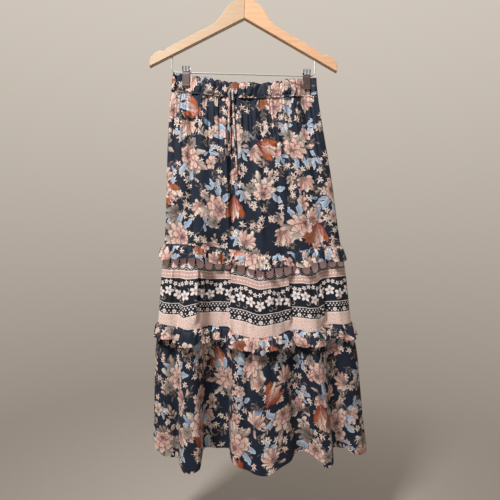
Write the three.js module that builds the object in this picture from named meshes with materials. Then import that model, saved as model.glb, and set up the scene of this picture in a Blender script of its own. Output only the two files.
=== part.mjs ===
// Three-tiered maxi skirt clipped to a wooden hanger.
// Millimetres, +Z up. The front of the skirt faces -Y and its left edge, as seen from the front, is at -X.
// The origin is the inner top of the hanger's hook, where the hook rests on a rail.

import * as THREE from 'three';

// Driving dimensions of the cloth.
const seamGap = 0.3;
const clothWall = 1.5;
const ruffleWall = 1.2;
const bandWall = 2.2;
const bandGathers = 22;
const bandGatherRise = 2.4;
const clipSqueezeDepth = 0.7;
const clipSqueezeReach = 22;
const hangMiddle = 0.51;
const hangHalfSpan = 0.42;
const ruffleHeight = 31;
const ruffleHeading = 4;
const ruffleFlare = 11;
const ruffleClearance = 0.6;
const ruffleLift = 1;
const ruffleUnevenness = 0.2;
const ruffleUnevenWaves = 5;
const upperRuffleWaves = 21.5;
const lowerRuffleWaves = 22;
const drawstringRadius = 2.4;
const knotRadius = 4.2;
const knotLength = 1.2;
const knotDepth = 0.8;
const knotForward = 0.6;

// Driving dimensions of the hanger.
const hangerTilt = THREE.MathUtils.degToRad(1.6);
const hookInnerRadius = 19;
const hookWireRadius = 1.8;
const hookTipAngle = 205;
const hookNeckAngle = -40;
const hookNeckBottom = -52;
const woodTop = -70;
const woodThickness = 12;
const woodBevel = 1.2;
const armReach = 222.5;
const armApex = -116.5;
const armTip = -237.2;
const barWireRadius = 1.6;
const barHalfSpan = 170.2;
const barHeight = -247.6;
const barBendRadius = 8;

// Driving dimensions of one clip.
const clipWidth = 17;
const clipPlate = 1;
const clipAbove = 14;
const clipBelow = 34;
const clipGrip = 5.6;
const clipTabSpread = 5;
const clipLip = 1.6;
const springRadius = 3.1;
const springLength = 12;
const leftClipX = -142.3;
const rightClipX = 144.4;

// How far each gathered seam dips below the line between its ends, at places from the left side
// seam, 0, to the right one, 1.
const upperSeamDips = {
  front: [
    { at: 0, dip: 0 },
    { at: 0.12, dip: -1 },
    { at: 0.235, dip: 5 },
    { at: 0.33, dip: 10 },
    { at: 0.38, dip: 14 },
    { at: 0.46, dip: 17 },
    { at: 0.55, dip: 23 },
    { at: 0.615, dip: 24.5 },
    { at: 0.71, dip: 18 },
    { at: 0.83, dip: 8.5 },
    { at: 0.92, dip: 4 },
    { at: 1, dip: 0 },
  ],
  back: [
    { at: 0, dip: 0 },
    { at: 0.1, dip: 2 },
    { at: 0.22, dip: 9 },
    { at: 0.35, dip: 14 },
    { at: 0.45, dip: 20 },
    { at: 0.55, dip: 23 },
    { at: 0.68, dip: 17 },
    { at: 0.8, dip: 12 },
    { at: 0.9, dip: 5 },
    { at: 1, dip: 0 },
  ],
};
const lowerSeamDips = {
  front: [
    { at: 0, dip: 0 },
    { at: 0.13, dip: 2 },
    { at: 0.2, dip: 3 },
    { at: 0.285, dip: 13 },
    { at: 0.38, dip: 17 },
    { at: 0.425, dip: 26 },
    { at: 0.545, dip: 25 },
    { at: 0.62, dip: 28 },
    { at: 0.71, dip: 22 },
    { at: 0.8, dip: 16.5 },
    { at: 0.84, dip: 17 },
    { at: 0.88, dip: 11 },
    { at: 0.95, dip: 7 },
    { at: 1, dip: 0 },
  ],
  back: [
    { at: 0, dip: 0 },
    { at: 0.1, dip: 4 },
    { at: 0.2, dip: 12 },
    { at: 0.3, dip: 16 },
    { at: 0.42, dip: 22 },
    { at: 0.55, dip: 27 },
    { at: 0.7, dip: 19 },
    { at: 0.82, dip: 15 },
    { at: 0.92, dip: 8 },
    { at: 1, dip: 0 },
  ],
};

// The five edges that divide the skirt, with their heights at the left and right side seams
// and how far they hang below the line between them: by the middle's sag, or by a table.
const edges = [
  { name: 'waist', left: -246.5, right: -256.5, sag: 22 },
  { name: 'waistband seam', left: -288, right: -297, sag: 17 },
  { name: 'upper seam', left: -655, right: -660, dips: upperSeamDips },
  { name: 'lower seam', left: -840, right: -841, dips: lowerSeamDips },
  { name: 'hem', left: -1130.5, right: -1149, sag: 22 },
];
const WAIST = 0;
const BAND_SEAM = 1;
const UPPER_SEAM = 2;
const LOWER_SEAM = 3;
const HEM = 4;

// The skirt's outline, and how far its front and back stand off the hanger's plane.
const outline = [
  { z: -240, left: -172, right: 167, front: 10, back: 10 },
  { z: -294, left: -179.5, right: 169.5, front: 12, back: 12 },
  { z: -394, left: -185.5, right: 185.5, front: 17, back: 16 },
  { z: -499, left: -188.5, right: 203.5, front: 21, back: 20 },
  { z: -640, left: -192, right: 221.5, front: 25, back: 23 },
  { z: -709, left: -199.5, right: 235.5, front: 28, back: 26 },
  { z: -838, left: -208.5, right: 248.5, front: 32, back: 29 },
  { z: -905, left: -215.5, right: 264, front: 34, back: 30 },
  { z: -1058, left: -218.5, right: 276.5, front: 36, back: 32 },
  { z: -1150, left: -221, right: 288, front: 38, back: 34 },
];

// The hem's line round the front, from the left side seam to the right one: the ridges, valleys
// and turned edges of its hanging folds.
const frontHem = [
  { x: -221, out: 0, z: -1130.5 },
  { x: -212, out: 9, z: -1137 },
  { x: -186, out: 20, z: -1149 },
  { x: -161, out: 11, z: -1156 },
  { x: -151, out: 34, z: -1161 },
  { x: -136, out: 56, z: -1168 },
  { x: -118, out: 58, z: -1166 },
  { x: -104, out: 50, z: -1162 },
  { x: -102, out: 24, z: -1152 },
  { x: -99, out: -6, z: -1142 },
  { x: -72, out: -14, z: -1146 },
  { x: -42, out: -8, z: -1143 },
  { x: -37, out: 18, z: -1146 },
  { x: -31, out: 39, z: -1150 },
  { x: -16, out: 48, z: -1158 },
  { x: 3, out: 46, z: -1165 },
  { x: 23, out: 57, z: -1169 },
  { x: 47, out: 58, z: -1171 },
  { x: 80, out: 48, z: -1158 },
  { x: 104, out: 34, z: -1151 },
  { x: 117, out: 13, z: -1145 },
  { x: 140, out: 6, z: -1143 },
  { x: 168, out: 34, z: -1151 },
  { x: 181, out: 46, z: -1160 },
  { x: 198, out: 41, z: -1156 },
  { x: 205, out: 18, z: -1149 },
  { x: 209, out: -5, z: -1141 },
  { x: 234, out: -8, z: -1140 },
  { x: 251, out: 22, z: -1141 },
  { x: 270, out: 17, z: -1146 },
  { x: 288, out: 0, z: -1149 },
];

// The same line round the back.
const backHem = [
  { x: -221, out: 0, z: -1130.5 },
  { x: -208, out: 22, z: -1142 },
  { x: -178, out: 44, z: -1156 },
  { x: -150, out: 40, z: -1156 },
  { x: -138, out: 14, z: -1146 },
  { x: -112, out: 9, z: -1145 },
  { x: -96, out: 34, z: -1154 },
  { x: -66, out: 54, z: -1166 },
  { x: -34, out: 50, z: -1165 },
  { x: -18, out: 26, z: -1156 },
  { x: 10, out: 20, z: -1155 },
  { x: 30, out: 40, z: -1162 },
  { x: 62, out: 58, z: -1170 },
  { x: 98, out: 50, z: -1164 },
  { x: 112, out: 22, z: -1152 },
  { x: 134, out: 14, z: -1148 },
  { x: 152, out: 36, z: -1156 },
  { x: 186, out: 54, z: -1162 },
  { x: 214, out: 40, z: -1154 },
  { x: 232, out: 16, z: -1146 },
  { x: 258, out: 26, z: -1148 },
  { x: 288, out: 0, z: -1149 },
];

// Long soft folds of the top and middle tiers: place round the panel from 0 to 1, width in the same
// measure, depth (inwards where negative), and the heights between which they show.
const frontFolds = [
  { at: 0.05, width: 0.018, depth: -3, top: -300, bottom: -520 },
  { at: 0.15, width: 0.018, depth: -8, top: -300, bottom: -600 },
  { at: 0.22, width: 0.03, depth: 4, top: -310, bottom: -640 },
  { at: 0.4, width: 0.016, depth: -7, top: -320, bottom: -650 },
  { at: 0.45, width: 0.02, depth: 3, top: -320, bottom: -640 },
  { at: 0.6, width: 0.02, depth: -5, top: -300, bottom: -500 },
  { at: 0.74, width: 0.02, depth: -5, top: -300, bottom: -560 },
  { at: 0.9, width: 0.022, depth: -6, top: -310, bottom: -620 },
  { at: 0.14, width: 0.035, depth: 5, top: -600, bottom: -900 },
  { at: 0.31, width: 0.06, depth: -5, top: -600, bottom: -900 },
  { at: 0.52, width: 0.1, depth: 5, top: -600, bottom: -900 },
];
const backFolds = [
  { at: 0.12, width: 0.022, depth: -6, top: -300, bottom: -600 },
  { at: 0.27, width: 0.018, depth: -5, top: -300, bottom: -520 },
  { at: 0.38, width: 0.03, depth: 4, top: -320, bottom: -640 },
  { at: 0.52, width: 0.018, depth: -6, top: -310, bottom: -640 },
  { at: 0.7, width: 0.022, depth: -5, top: -300, bottom: -560 },
  { at: 0.86, width: 0.02, depth: -6, top: -300, bottom: -620 },
  { at: 0.32, width: 0.06, depth: -5, top: -600, bottom: -900 },
  { at: 0.63, width: 0.08, depth: 4, top: -600, bottom: -900 },
];

// The ties of the waist: the middle line of each, from where it leaves the waistband, in x, y and z.
const leftTieRoute = [
  [-38, -13.2, -294],
  [-38, -16.4, -294.6],
  [-38, -18.4, -297.4],
  [-38.1, -18.6, -302],
  [-38.3, -17.6, -310],
  [-38.7, -17, -320],
  [-39.3, -17.2, -333],
  [-39.8, -17.7, -346],
  [-40.1, -18, -360],
  [-40.1, -18.1, -375],
  [-39.8, -18.2, -390],
  [-39.3, -18.3, -404],
  [-38.9, -18.5, -418],
  [-38.7, -18.7, -426],
];
const rightTieRoute = [
  [-31.5, -13.7, -293],
  [-31.4, -16.8, -293.6],
  [-31.3, -18.8, -296.4],
  [-31.1, -19, -301],
  [-30.8, -17.4, -310],
  [-30.4, -16.6, -320],
  [-29.8, -16.4, -334],
  [-29, -17.2, -348],
  [-28.2, -18.6, -362],
  [-27.3, -19.8, -376],
  [-26.4, -20.4, -390],
  [-25.5, -21, -404],
  [-24.6, -21.8, -418],
  [-23.8, -22.6, -432],
  [-23, -23.3, -446],
  [-22.4, -23.8, -460],
  [-21.9, -24.1, -474],
  [-21.5, -24.3, -488],
  [-21.3, -24.4, -496],
];

// How the long folds and the hem's folds come and go.
const foldFade = 60;
const hemFoldsStart = -520;
const hemFoldsGrowth = 1.25;
const hemLevel = -1140;

// Gathers that start at the top seam of each tier and die out below it.
const topTierGathers = { count: 11, rise: 2.6, start: 1, reach: 0.6 };
const middleTierGathers = { count: 11, rise: 2.2, start: 0, reach: 1 };
const bottomTierGathers = { count: 22, rise: 3.4, start: 0, reach: 0.6 };

// Columns and row places of each tier's facets. The ruffles share the tiers' columns.
const tierColumns = 44;
const hemColumns = 88;
const topRows = [0, 0.1, 0.35, 0.65, 1];
const middleRows = [0, 0.18, 1];
const bottomRows = [0, 0.12, 0.4, 0.7, 1];

const { clamp, lerp, smoothstep } = THREE.MathUtils;

// One column of a table, at a height between its rows.
function outlineAt(z, column) {
  const below = outline.findIndex((row) => row.z < z);
  const next = below === -1 ? outline.length - 1 : Math.max(1, below);
  const upper = outline[next - 1];
  const lower = outline[next];
  const share = clamp((z - upper.z) / (lower.z - upper.z), 0, 1);
  return lerp(upper[column], lower[column], share);
}

function hemCurve(rows) {
  const points = rows.map((row) => new THREE.Vector3(row.x, row.out, row.z));
  const curve = new THREE.CatmullRomCurve3(points, false, 'centripetal');
  curve.arcLengthDivisions = 800;
  return curve;
}

const sides = {
  front: { facing: -1, hem: hemCurve(frontHem), folds: frontFolds, column: 'front' },
  back: { facing: 1, hem: hemCurve(backHem), folds: backFolds, column: 'back' },
};

// How far an edge hangs below the line between its ends.
function edgeDip(edge, side, across, sagShape) {
  if (!edge.dips) return edge.sag * sagShape;
  const rows = edge.dips[side.column];
  const next = Math.max(1, rows.findIndex((row) => row.at >= across));
  const left = rows[next - 1];
  const right = rows[next];
  return lerp(left.dip, right.dip, (across - left.at) / (right.at - left.at));
}

// Roundness of the flattened tube: 0 at the side seams, 1 over most of the panel.
function bulge(across) {
  return Math.pow(Math.max(0, 1 - Math.pow(Math.abs(2 * across - 1), 4)), 0.25);
}

// How much the clips squeeze the panel at a place round the waist.
function clipSqueeze(x) {
  const left = Math.exp(-Math.pow((x - leftClipX) / clipSqueezeReach, 2));
  const right = Math.exp(-Math.pow((x - rightClipX) / clipSqueezeReach, 2));
  return Math.min(1, left + right);
}

// A point of the cloth's outer face. across runs from the left side seam, 0, to the right one, 1;
// down is 0 at the waist and 1, 2, 3 and 4 at the edges of the table.
function clothPoint(side, across, down) {
  const step = Math.min(HEM - 1, Math.floor(down));
  const share = down - step;
  const above = edges[step];
  const below = edges[step + 1];
  const seamHeight = lerp(
    lerp(above.left, below.left, share),
    lerp(above.right, below.right, share),
    across,
  );
  const hung = Math.max(0, 1 - Math.pow((across - hangMiddle) / hangHalfSpan, 2));
  const draped = 4 * across * (1 - across);
  const clipShare = 1 - smoothstep(down, 0.2, 1.4);
  const sagShape = lerp(draped, hung, clipShare);
  const dipAbove = edgeDip(above, side, across, sagShape);
  const dipBelow = edgeDip(below, side, across, sagShape);
  const z = seamHeight - lerp(dipAbove, dipBelow, share);

  const x = lerp(outlineAt(seamHeight, 'left'), outlineAt(seamHeight, 'right'), across);
  const squeeze = clipSqueezeDepth * clipSqueeze(x) * (1 - smoothstep(down, 0.85, 1.6));
  let out = outlineAt(seamHeight, side.column) * bulge(across) * (1 - squeeze);
  for (const fold of side.folds) {
    const place = Math.exp(-Math.pow((across - fold.at) / fold.width, 2));
    const shown =
      smoothstep(-seamHeight, -fold.top, -fold.top + foldFade) *
      (1 - smoothstep(-seamHeight, -fold.bottom - foldFade, -fold.bottom));
    out += fold.depth * place * shown;
  }

  const hem = side.hem.getPointAt(across);
  const last = edges[HEM];
  const plainX = lerp(outlineAt(last.left, 'left'), outlineAt(last.right, 'right'), across);
  const plainOut = outlineAt(last.left, side.column) * bulge(across);
  const plainZ = lerp(last.left, last.right, across) - last.sag * draped;
  const fallen = clamp((hemFoldsStart - seamHeight) / (hemFoldsStart - hemLevel), 0, 1);
  const foldShare = Math.pow(fallen, hemFoldsGrowth);
  return new THREE.Vector3(
    x + foldShare * (hem.x - plainX),
    side.facing * (out + foldShare * (hem.y - plainOut)),
    z + foldShare * (hem.z - plainZ),
  );
}

// The outward direction of the cloth at a point, straight out sideways at the side seams.
function clothNormal(side, across, down) {
  if (across <= 0) return new THREE.Vector3(-1, 0, 0);
  if (across >= 1) return new THREE.Vector3(1, 0, 0);
  const reach = 0.004;
  const left = clothPoint(side, Math.max(0, across - reach), down);
  const right = clothPoint(side, Math.min(1, across + reach), down);
  const upper = clothPoint(side, across, Math.max(WAIST, down - reach));
  const lower = clothPoint(side, across, Math.min(HEM, down + reach));
  const along = right.sub(left);
  const fall = lower.sub(upper);
  return fall.cross(along).multiplyScalar(-side.facing).normalize();
}

// A closed wall between an outer and an inner grid of points, whose rows run down the cloth and
// whose columns run from left to right.
function wallGeometry(outer, inner, facing) {
  const rows = outer.length;
  const columns = outer[0].length;
  const points = [...outer.flat(), ...inner.flat()];
  const index = [];
  const outerAt = (row, column) => row * columns + column;
  const innerAt = (row, column) => (rows + row) * columns + column;
  const quad = (a, b, c, d) => {
    if (facing < 0) index.push(a, b, c, a, c, d);
    else index.push(a, c, b, a, d, c);
  };
  for (let row = 0; row < rows - 1; row++) {
    for (let column = 0; column < columns - 1; column++) {
      quad(
        outerAt(row, column),
        outerAt(row + 1, column),
        outerAt(row + 1, column + 1),
        outerAt(row, column + 1),
      );
      quad(
        innerAt(row, column),
        innerAt(row, column + 1),
        innerAt(row + 1, column + 1),
        innerAt(row + 1, column),
      );
    }
  }
  for (let column = 0; column < columns - 1; column++) {
    const last = rows - 1;
    quad(outerAt(0, column), outerAt(0, column + 1), innerAt(0, column + 1), innerAt(0, column));
    quad(
      outerAt(last, column + 1),
      outerAt(last, column),
      innerAt(last, column),
      innerAt(last, column + 1),
    );
  }
  for (let row = 0; row < rows - 1; row++) {
    const last = columns - 1;
    quad(outerAt(row + 1, 0), outerAt(row, 0), innerAt(row, 0), innerAt(row + 1, 0));
    quad(
      outerAt(row, last),
      outerAt(row + 1, last),
      innerAt(row + 1, last),
      innerAt(row, last),
    );
  }
  const geometry = new THREE.BufferGeometry();
  geometry.setAttribute(
    'position',
    new THREE.Float32BufferAttribute(points.flatMap((point) => point.toArray()), 3),
  );
  geometry.setIndex(index);
  geometry.computeVertexNormals();
  return geometry;
}

// How far a tier's own gathers stand off it, which they do most just below its top seam.
function gatherBump(gathers, across, share) {
  const ends = smoothstep(across, 0, 0.03) * (1 - smoothstep(across, 0.97, 1));
  const grown = lerp(gathers.start, 1, smoothstep(share, 0, 0.12));
  const faded = 1 - smoothstep(share, 0.12, gathers.reach);
  const wave = Math.sin(2 * Math.PI * gathers.count * across);
  return 0.5 * gathers.rise * grown * faded * ends * wave;
}

// The outer points and outward directions of a tier, from one edge of the table to the next.
// Its top row follows the last row of the tier above, where there is one.
function tierGrid(side, from, shares, columns, gathers, above) {
  const rows = shares.map((share) => {
    const down = from + share;
    const line = [];
    for (let column = 0; column <= columns; column++) {
      const across = column / columns;
      if (share === 0 && above) {
        const spot = onGrid(above, across, 1);
        spot.point.z -= seamGap;
        line.push(spot);
        continue;
      }
      const normal = clothNormal(side, across, down);
      const point = clothPoint(side, across, down);
      point.addScaledVector(normal, gatherBump(gathers, across, share));
      if (share === 0) point.z -= seamGap;
      line.push({ point, normal });
    }
    return line;
  });
  return { rows, shares };
}

// Both ends of a line of points lie half a gap from the side seams' plane.
function clearAtEnds(line, side) {
  for (const end of [line[0], line[line.length - 1]]) end.y = (side.facing * seamGap) / 2;
}

function wallFromGrid(grid, side, wall) {
  const outer = grid.rows.map((line) => line.map((spot) => spot.point.clone()));
  const inner = grid.rows.map((line) =>
    line.map((spot) => spot.point.clone().addScaledVector(spot.normal, -wall)),
  );
  for (const line of [...outer, ...inner]) clearAtEnds(line, side);
  return wallGeometry(outer, inner, side.facing);
}

// A place on a tier's faceted outer face, between its grid points.
function onGrid(grid, across, share) {
  const { rows, shares } = grid;
  const columns = rows[0].length - 1;
  const lastRow = rows.length - 2;
  const row = clamp(shares.findIndex((place) => place > share) - 1, 0, lastRow);
  const found = share >= 1 ? lastRow : row;
  const column = Math.min(columns - 1, Math.floor(across * columns));
  const acrossShare = across * columns - column;
  const downShare = (share - shares[found]) / (shares[found + 1] - shares[found]);
  const mix = (key) => {
    const upper = rows[found][column][key].clone();
    const lower = rows[found + 1][column][key].clone();
    upper.lerp(rows[found][column + 1][key], acrossShare);
    lower.lerp(rows[found + 1][column + 1][key], acrossShare);
    return upper.lerp(lower, downShare);
  };
  return { point: mix('point'), normal: mix('normal').normalize() };
}

// A gathered frill sewn along the seam between two tiers: flat where it is stitched, and waving
// towards its free edge.
function ruffleGeometry(side, upperGrid, lowerGrid, upperHeight, lowerHeight, waves) {
  const heights = [-ruffleHeading, 0.35 * ruffleHeight, ruffleHeight];
  const columns = hemColumns;
  const outer = [];
  const inner = [];
  for (const height of heights) {
    const free = clamp(height / ruffleHeight, 0, 1);
    const outerLine = [];
    const innerLine = [];
    for (let column = 0; column <= columns; column++) {
      const across = column / columns;
      const base =
        height < 0
          ? onGrid(upperGrid, across, 1 + height / upperHeight)
          : onGrid(lowerGrid, across, height / lowerHeight);
      const wave = 0.5 + 0.5 * Math.cos(2 * Math.PI * waves * across);
      const swing = Math.sin(2 * Math.PI * ruffleUnevenWaves * across + 1);
      const flare = ruffleFlare * wave * (1 - ruffleUnevenness + ruffleUnevenness * swing);
      const stand = ruffleClearance + free * (ruffleLift + flare * Math.sqrt(free));
      innerLine.push(base.point.clone().addScaledVector(base.normal, stand));
      outerLine.push(base.point.clone().addScaledVector(base.normal, stand + ruffleWall));
    }
    clearAtEnds(outerLine, side);
    clearAtEnds(innerLine, side);
    outer.push(outerLine);
    inner.push(innerLine);
  }
  return wallGeometry(outer, inner, side.facing);
}

// The elastic waistband: a casing whose outer face is puckered, over a plain inside.
function waistbandGeometry(side) {
  const bandRows = [
    { down: 0, rise: 1 },
    { down: 0.3, rise: 0.45 },
    { down: 1, rise: 0.8 },
  ];
  const columns = bandGathers * 4;
  const outer = [];
  const inner = [];
  for (const { down, rise: rowRise } of bandRows) {
    const outerLine = [];
    const innerLine = [];
    for (let column = 0; column <= columns; column++) {
      const across = column / columns;
      const normal = clothNormal(side, across, down);
      const point = clothPoint(side, across, down);
      const flat = 1 - 0.9 * clipSqueeze(point.x);
      const pucker = 0.5 - 0.5 * Math.cos(2 * Math.PI * bandGathers * across);
      const rise = bandGatherRise * rowRise * pucker * flat;
      innerLine.push(point.clone().addScaledVector(normal, -bandWall));
      outerLine.push(point.addScaledVector(normal, rise));
    }
    clearAtEnds(outerLine, side);
    clearAtEnds(innerLine, side);
    outer.push(outerLine);
    inner.push(innerLine);
  }
  return wallGeometry(outer, inner, side.facing);
}

function finish(color, roughness, metalness) {
  return new THREE.MeshStandardMaterial({ color, roughness, metalness });
}

const finishes = {
  floral: finish(0x2a3040, 0.85, 0),
  border: finish(0xc9a596, 0.85, 0),
  paleWood: finish(0xf0d2ac, 0.5, 0),
  warmWood: finish(0xe8bd8e, 0.5, 0),
  chrome: finish(0xc9ccd0, 0.2, 1),
};

const skirt = new THREE.Group();

function addPiece(parent, name, geometry, material) {
  const mesh = new THREE.Mesh(geometry, material);
  mesh.name = name;
  parent.add(mesh);
  return mesh;
}

// The cloth, front and back.
for (const [name, side] of Object.entries(sides)) {
  const topGrid = tierGrid(side, BAND_SEAM, topRows, tierColumns, topTierGathers);
  const middleGrid = tierGrid(
    side,
    UPPER_SEAM,
    middleRows,
    tierColumns,
    middleTierGathers,
    topGrid,
  );
  const bottomGrid = tierGrid(
    side,
    LOWER_SEAM,
    bottomRows,
    hemColumns,
    bottomTierGathers,
    middleGrid,
  );
  const topHeight = edges[BAND_SEAM].left - edges[UPPER_SEAM].left;
  const middleHeight = edges[UPPER_SEAM].left - edges[LOWER_SEAM].left;
  const bottomHeight = edges[LOWER_SEAM].left - edges[HEM].left;
  addPiece(skirt, `waistband_${name}`, waistbandGeometry(side), finishes.floral);
  addPiece(skirt, `top_tier_${name}`, wallFromGrid(topGrid, side, clothWall), finishes.floral);
  addPiece(
    skirt,
    `upper_ruffle_${name}`,
    ruffleGeometry(side, topGrid, middleGrid, topHeight, middleHeight, upperRuffleWaves),
    finishes.floral,
  );
  addPiece(
    skirt,
    `middle_tier_${name}`,
    wallFromGrid(middleGrid, side, clothWall),
    finishes.border,
  );
  addPiece(
    skirt,
    `lower_ruffle_${name}`,
    ruffleGeometry(side, middleGrid, bottomGrid, middleHeight, bottomHeight, lowerRuffleWaves),
    finishes.floral,
  );
  addPiece(
    skirt,
    `bottom_tier_${name}`,
    wallFromGrid(bottomGrid, side, clothWall),
    finishes.floral,
  );
}

// The two ends of the drawstring, narrow tubes of the same cloth, each with a knot at its end.
function tieGeometry(points, steps) {
  const section = new THREE.Shape().absarc(0, 0, drawstringRadius, 0, 2 * Math.PI);
  return new THREE.ExtrudeGeometry(section, {
    steps,
    extrudePath: new THREE.CatmullRomCurve3(points, false, 'centripetal'),
    curveSegments: 4,
    bevelEnabled: false,
  });
}

const ties = [
  { name: 'left', route: leftTieRoute, steps: 18 },
  { name: 'right', route: rightTieRoute, steps: 24 },
];
for (const { name, route, steps } of ties) {
  const points = route.map((spot) => new THREE.Vector3(...spot));
  addPiece(skirt, `drawstring_${name}`, tieGeometry(points, steps), finishes.floral);
  const knot = new THREE.SphereGeometry(knotRadius, 10, 8);
  knot.rotateX(Math.PI / 2);
  knot.scale(1, knotDepth, knotLength);
  const end = points[points.length - 1];
  const piece = addPiece(skirt, `drawstring_${name}_knot`, knot, finishes.floral);
  piece.position.set(end.x, end.y - knotForward, end.z - seamGap - knotLength * knotRadius);
}

// The hanger, which hangs a little down to the right about the top of its hook.
const hanger = new THREE.Group();
hanger.rotation.y = hangerTilt;
skirt.add(hanger);

// Half of the wooden hanger: a humped middle, an arm that falls away straight, a notch for straps
// and a rounded end.
function armGeometry(direction) {
  const joint = seamGap / 2;
  const half = new THREE.Shape();
  half.moveTo(direction * joint, armApex);
  half.lineTo(direction * joint, woodTop);
  half.lineTo(direction * 11, woodTop - 1);
  half.quadraticCurveTo(direction * 27, woodTop - 4, direction * 38, woodTop - 16);
  half.quadraticCurveTo(direction * 46, woodTop - 26, direction * 54, woodTop - 39);
  half.quadraticCurveTo(direction * 63, woodTop - 54, direction * 78, woodTop - 64.5);
  half.lineTo(direction * 181, woodTop - 121);
  half.lineTo(direction * 188, woodTop - 129);
  half.lineTo(direction * 200, woodTop - 128.5);
  half.quadraticCurveTo(direction * 217, woodTop - 137, direction * armReach, woodTop - 150);
  half.lineTo(direction * armReach, armTip);
  half.closePath();
  const geometry = new THREE.ExtrudeGeometry(half, {
    depth: woodThickness - 2 * woodBevel,
    bevelThickness: woodBevel,
    bevelSize: woodBevel,
    bevelOffset: -woodBevel,
    bevelSegments: 1,
    curveSegments: 4,
  });
  geometry.translate(0, 0, woodBevel - woodThickness / 2);
  return geometry.rotateX(Math.PI / 2);
}

addPiece(hanger, 'hanger_arm_left', armGeometry(-1), finishes.paleWood);
addPiece(hanger, 'hanger_arm_right', armGeometry(1), finishes.warmWood);

function wireGeometry(path, radius, steps) {
  const section = new THREE.Shape().absarc(0, 0, radius, 0, 2 * Math.PI);
  return new THREE.ExtrudeGeometry(section, {
    steps,
    extrudePath: path,
    curveSegments: 4,
    bevelEnabled: false,
  });
}

// The hook: a round bend over the rail, swept back to a straight shank in the middle of the wood.
class HookBend extends THREE.Curve {
  getPoint(share, target = new THREE.Vector3()) {
    const radius = hookInnerRadius + hookWireRadius;
    const angle = THREE.MathUtils.degToRad(lerp(hookTipAngle, hookNeckAngle, share));
    return target.set(
      radius * Math.cos(angle),
      0,
      -hookInnerRadius + radius * Math.sin(angle),
    );
  }
}

function hookGeometry() {
  const path = new THREE.CurvePath();
  const bend = new HookBend();
  const bendEnd = bend.getPoint(1);
  const leaving = bend.getTangent(1);
  const neck = new THREE.Vector3(0, 0, hookNeckBottom);
  path.add(bend);
  path.add(
    new THREE.CubicBezierCurve3(
      bendEnd,
      bendEnd.clone().addScaledVector(leaving, 9),
      neck.clone().setZ(neck.z + 10),
      neck,
    ),
  );
  path.add(new THREE.LineCurve3(neck, new THREE.Vector3(0, 0, woodTop + seamGap)));
  return wireGeometry(path, hookWireRadius, 28);
}

addPiece(hanger, 'hook', hookGeometry(), finishes.chrome);

// The wire bar below the wood, bent up at both ends into the arms.
function barGeometry() {
  const slope = (armTip - armApex) / armReach;
  const legTop = armApex + slope * (barHalfSpan + barWireRadius) - seamGap;
  const path = new THREE.CurvePath();
  const spot = (x, z) => new THREE.Vector3(x, 0, z);
  const bendTop = barHeight + barBendRadius;
  const bendIn = barHalfSpan - barBendRadius;
  path.add(new THREE.LineCurve3(spot(-barHalfSpan, legTop), spot(-barHalfSpan, bendTop)));
  path.add(
    new THREE.QuadraticBezierCurve3(
      spot(-barHalfSpan, bendTop),
      spot(-barHalfSpan, barHeight),
      spot(-bendIn, barHeight),
    ),
  );
  path.add(new THREE.LineCurve3(spot(-bendIn, barHeight), spot(bendIn, barHeight)));
  path.add(
    new THREE.QuadraticBezierCurve3(
      spot(bendIn, barHeight),
      spot(barHalfSpan, barHeight),
      spot(barHalfSpan, bendTop),
    ),
  );
  path.add(new THREE.LineCurve3(spot(barHalfSpan, bendTop), spot(barHalfSpan, legTop)));
  return wireGeometry(path, barWireRadius, 40);
}

addPiece(hanger, 'bar', barGeometry(), finishes.chrome);

// A clip: a spring sleeve on the bar and two bent plates that grip the waistband between them.
function springGeometry() {
  const bore = barWireRadius + seamGap;
  const half = springLength / 2;
  const profile = [
    new THREE.Vector2(bore, -half),
    new THREE.Vector2(springRadius, -half),
    new THREE.Vector2(springRadius, half),
    new THREE.Vector2(bore, half),
    new THREE.Vector2(bore, -half),
  ];
  return new THREE.LatheGeometry(profile, 12).rotateZ(Math.PI / 2);
}

// The plate's side view runs from its finger tab over the spring to its lip, y being its
// distance from the hanger's plane.
function jawGeometry(facing) {
  const hip = springRadius + seamGap;
  const line = [
    { y: hip + clipTabSpread, z: clipAbove },
    { y: hip + 0.3 * clipTabSpread, z: 0.35 * clipAbove },
    { y: hip, z: 0 },
    { y: clipGrip, z: -2 * springRadius },
    { y: clipGrip, z: clipLip * 2 - clipBelow },
    { y: clipGrip + clipLip, z: -clipBelow },
  ];
  const side = new THREE.Shape();
  line.forEach(({ y, z }, number) => {
    if (number === 0) side.moveTo(facing * y, z);
    else side.lineTo(facing * y, z);
  });
  line.reverse().forEach(({ y, z }) => side.lineTo(facing * (y + clipPlate), z));
  side.closePath();
  const geometry = new THREE.ExtrudeGeometry(side, { depth: clipWidth, bevelEnabled: false });
  geometry.translate(0, 0, -clipWidth / 2);
  return geometry.rotateX(Math.PI / 2).rotateZ(Math.PI / 2);
}

for (const [name, x] of [['left', leftClipX], ['right', rightClipX]]) {
  const clip = new THREE.Group();
  const height = barHeight * Math.cos(hangerTilt) - x * Math.sin(hangerTilt);
  clip.position.set(x, 0, height);
  skirt.add(clip);
  const spring = addPiece(clip, `clip_${name}_spring`, springGeometry(), finishes.chrome);
  spring.rotation.y = hangerTilt;
  addPiece(clip, `clip_${name}_front_jaw`, jawGeometry(-1), finishes.chrome);
  addPiece(clip, `clip_${name}_back_jaw`, jawGeometry(1), finishes.chrome);
}

export default skirt;
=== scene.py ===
# Three-tiered maxi skirt clipped to a wooden hanger: the finish of every surface.
# Metres, +Z up. The front faces -Y, and the origin is the inner top of the hanger's hook.

import math

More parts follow.
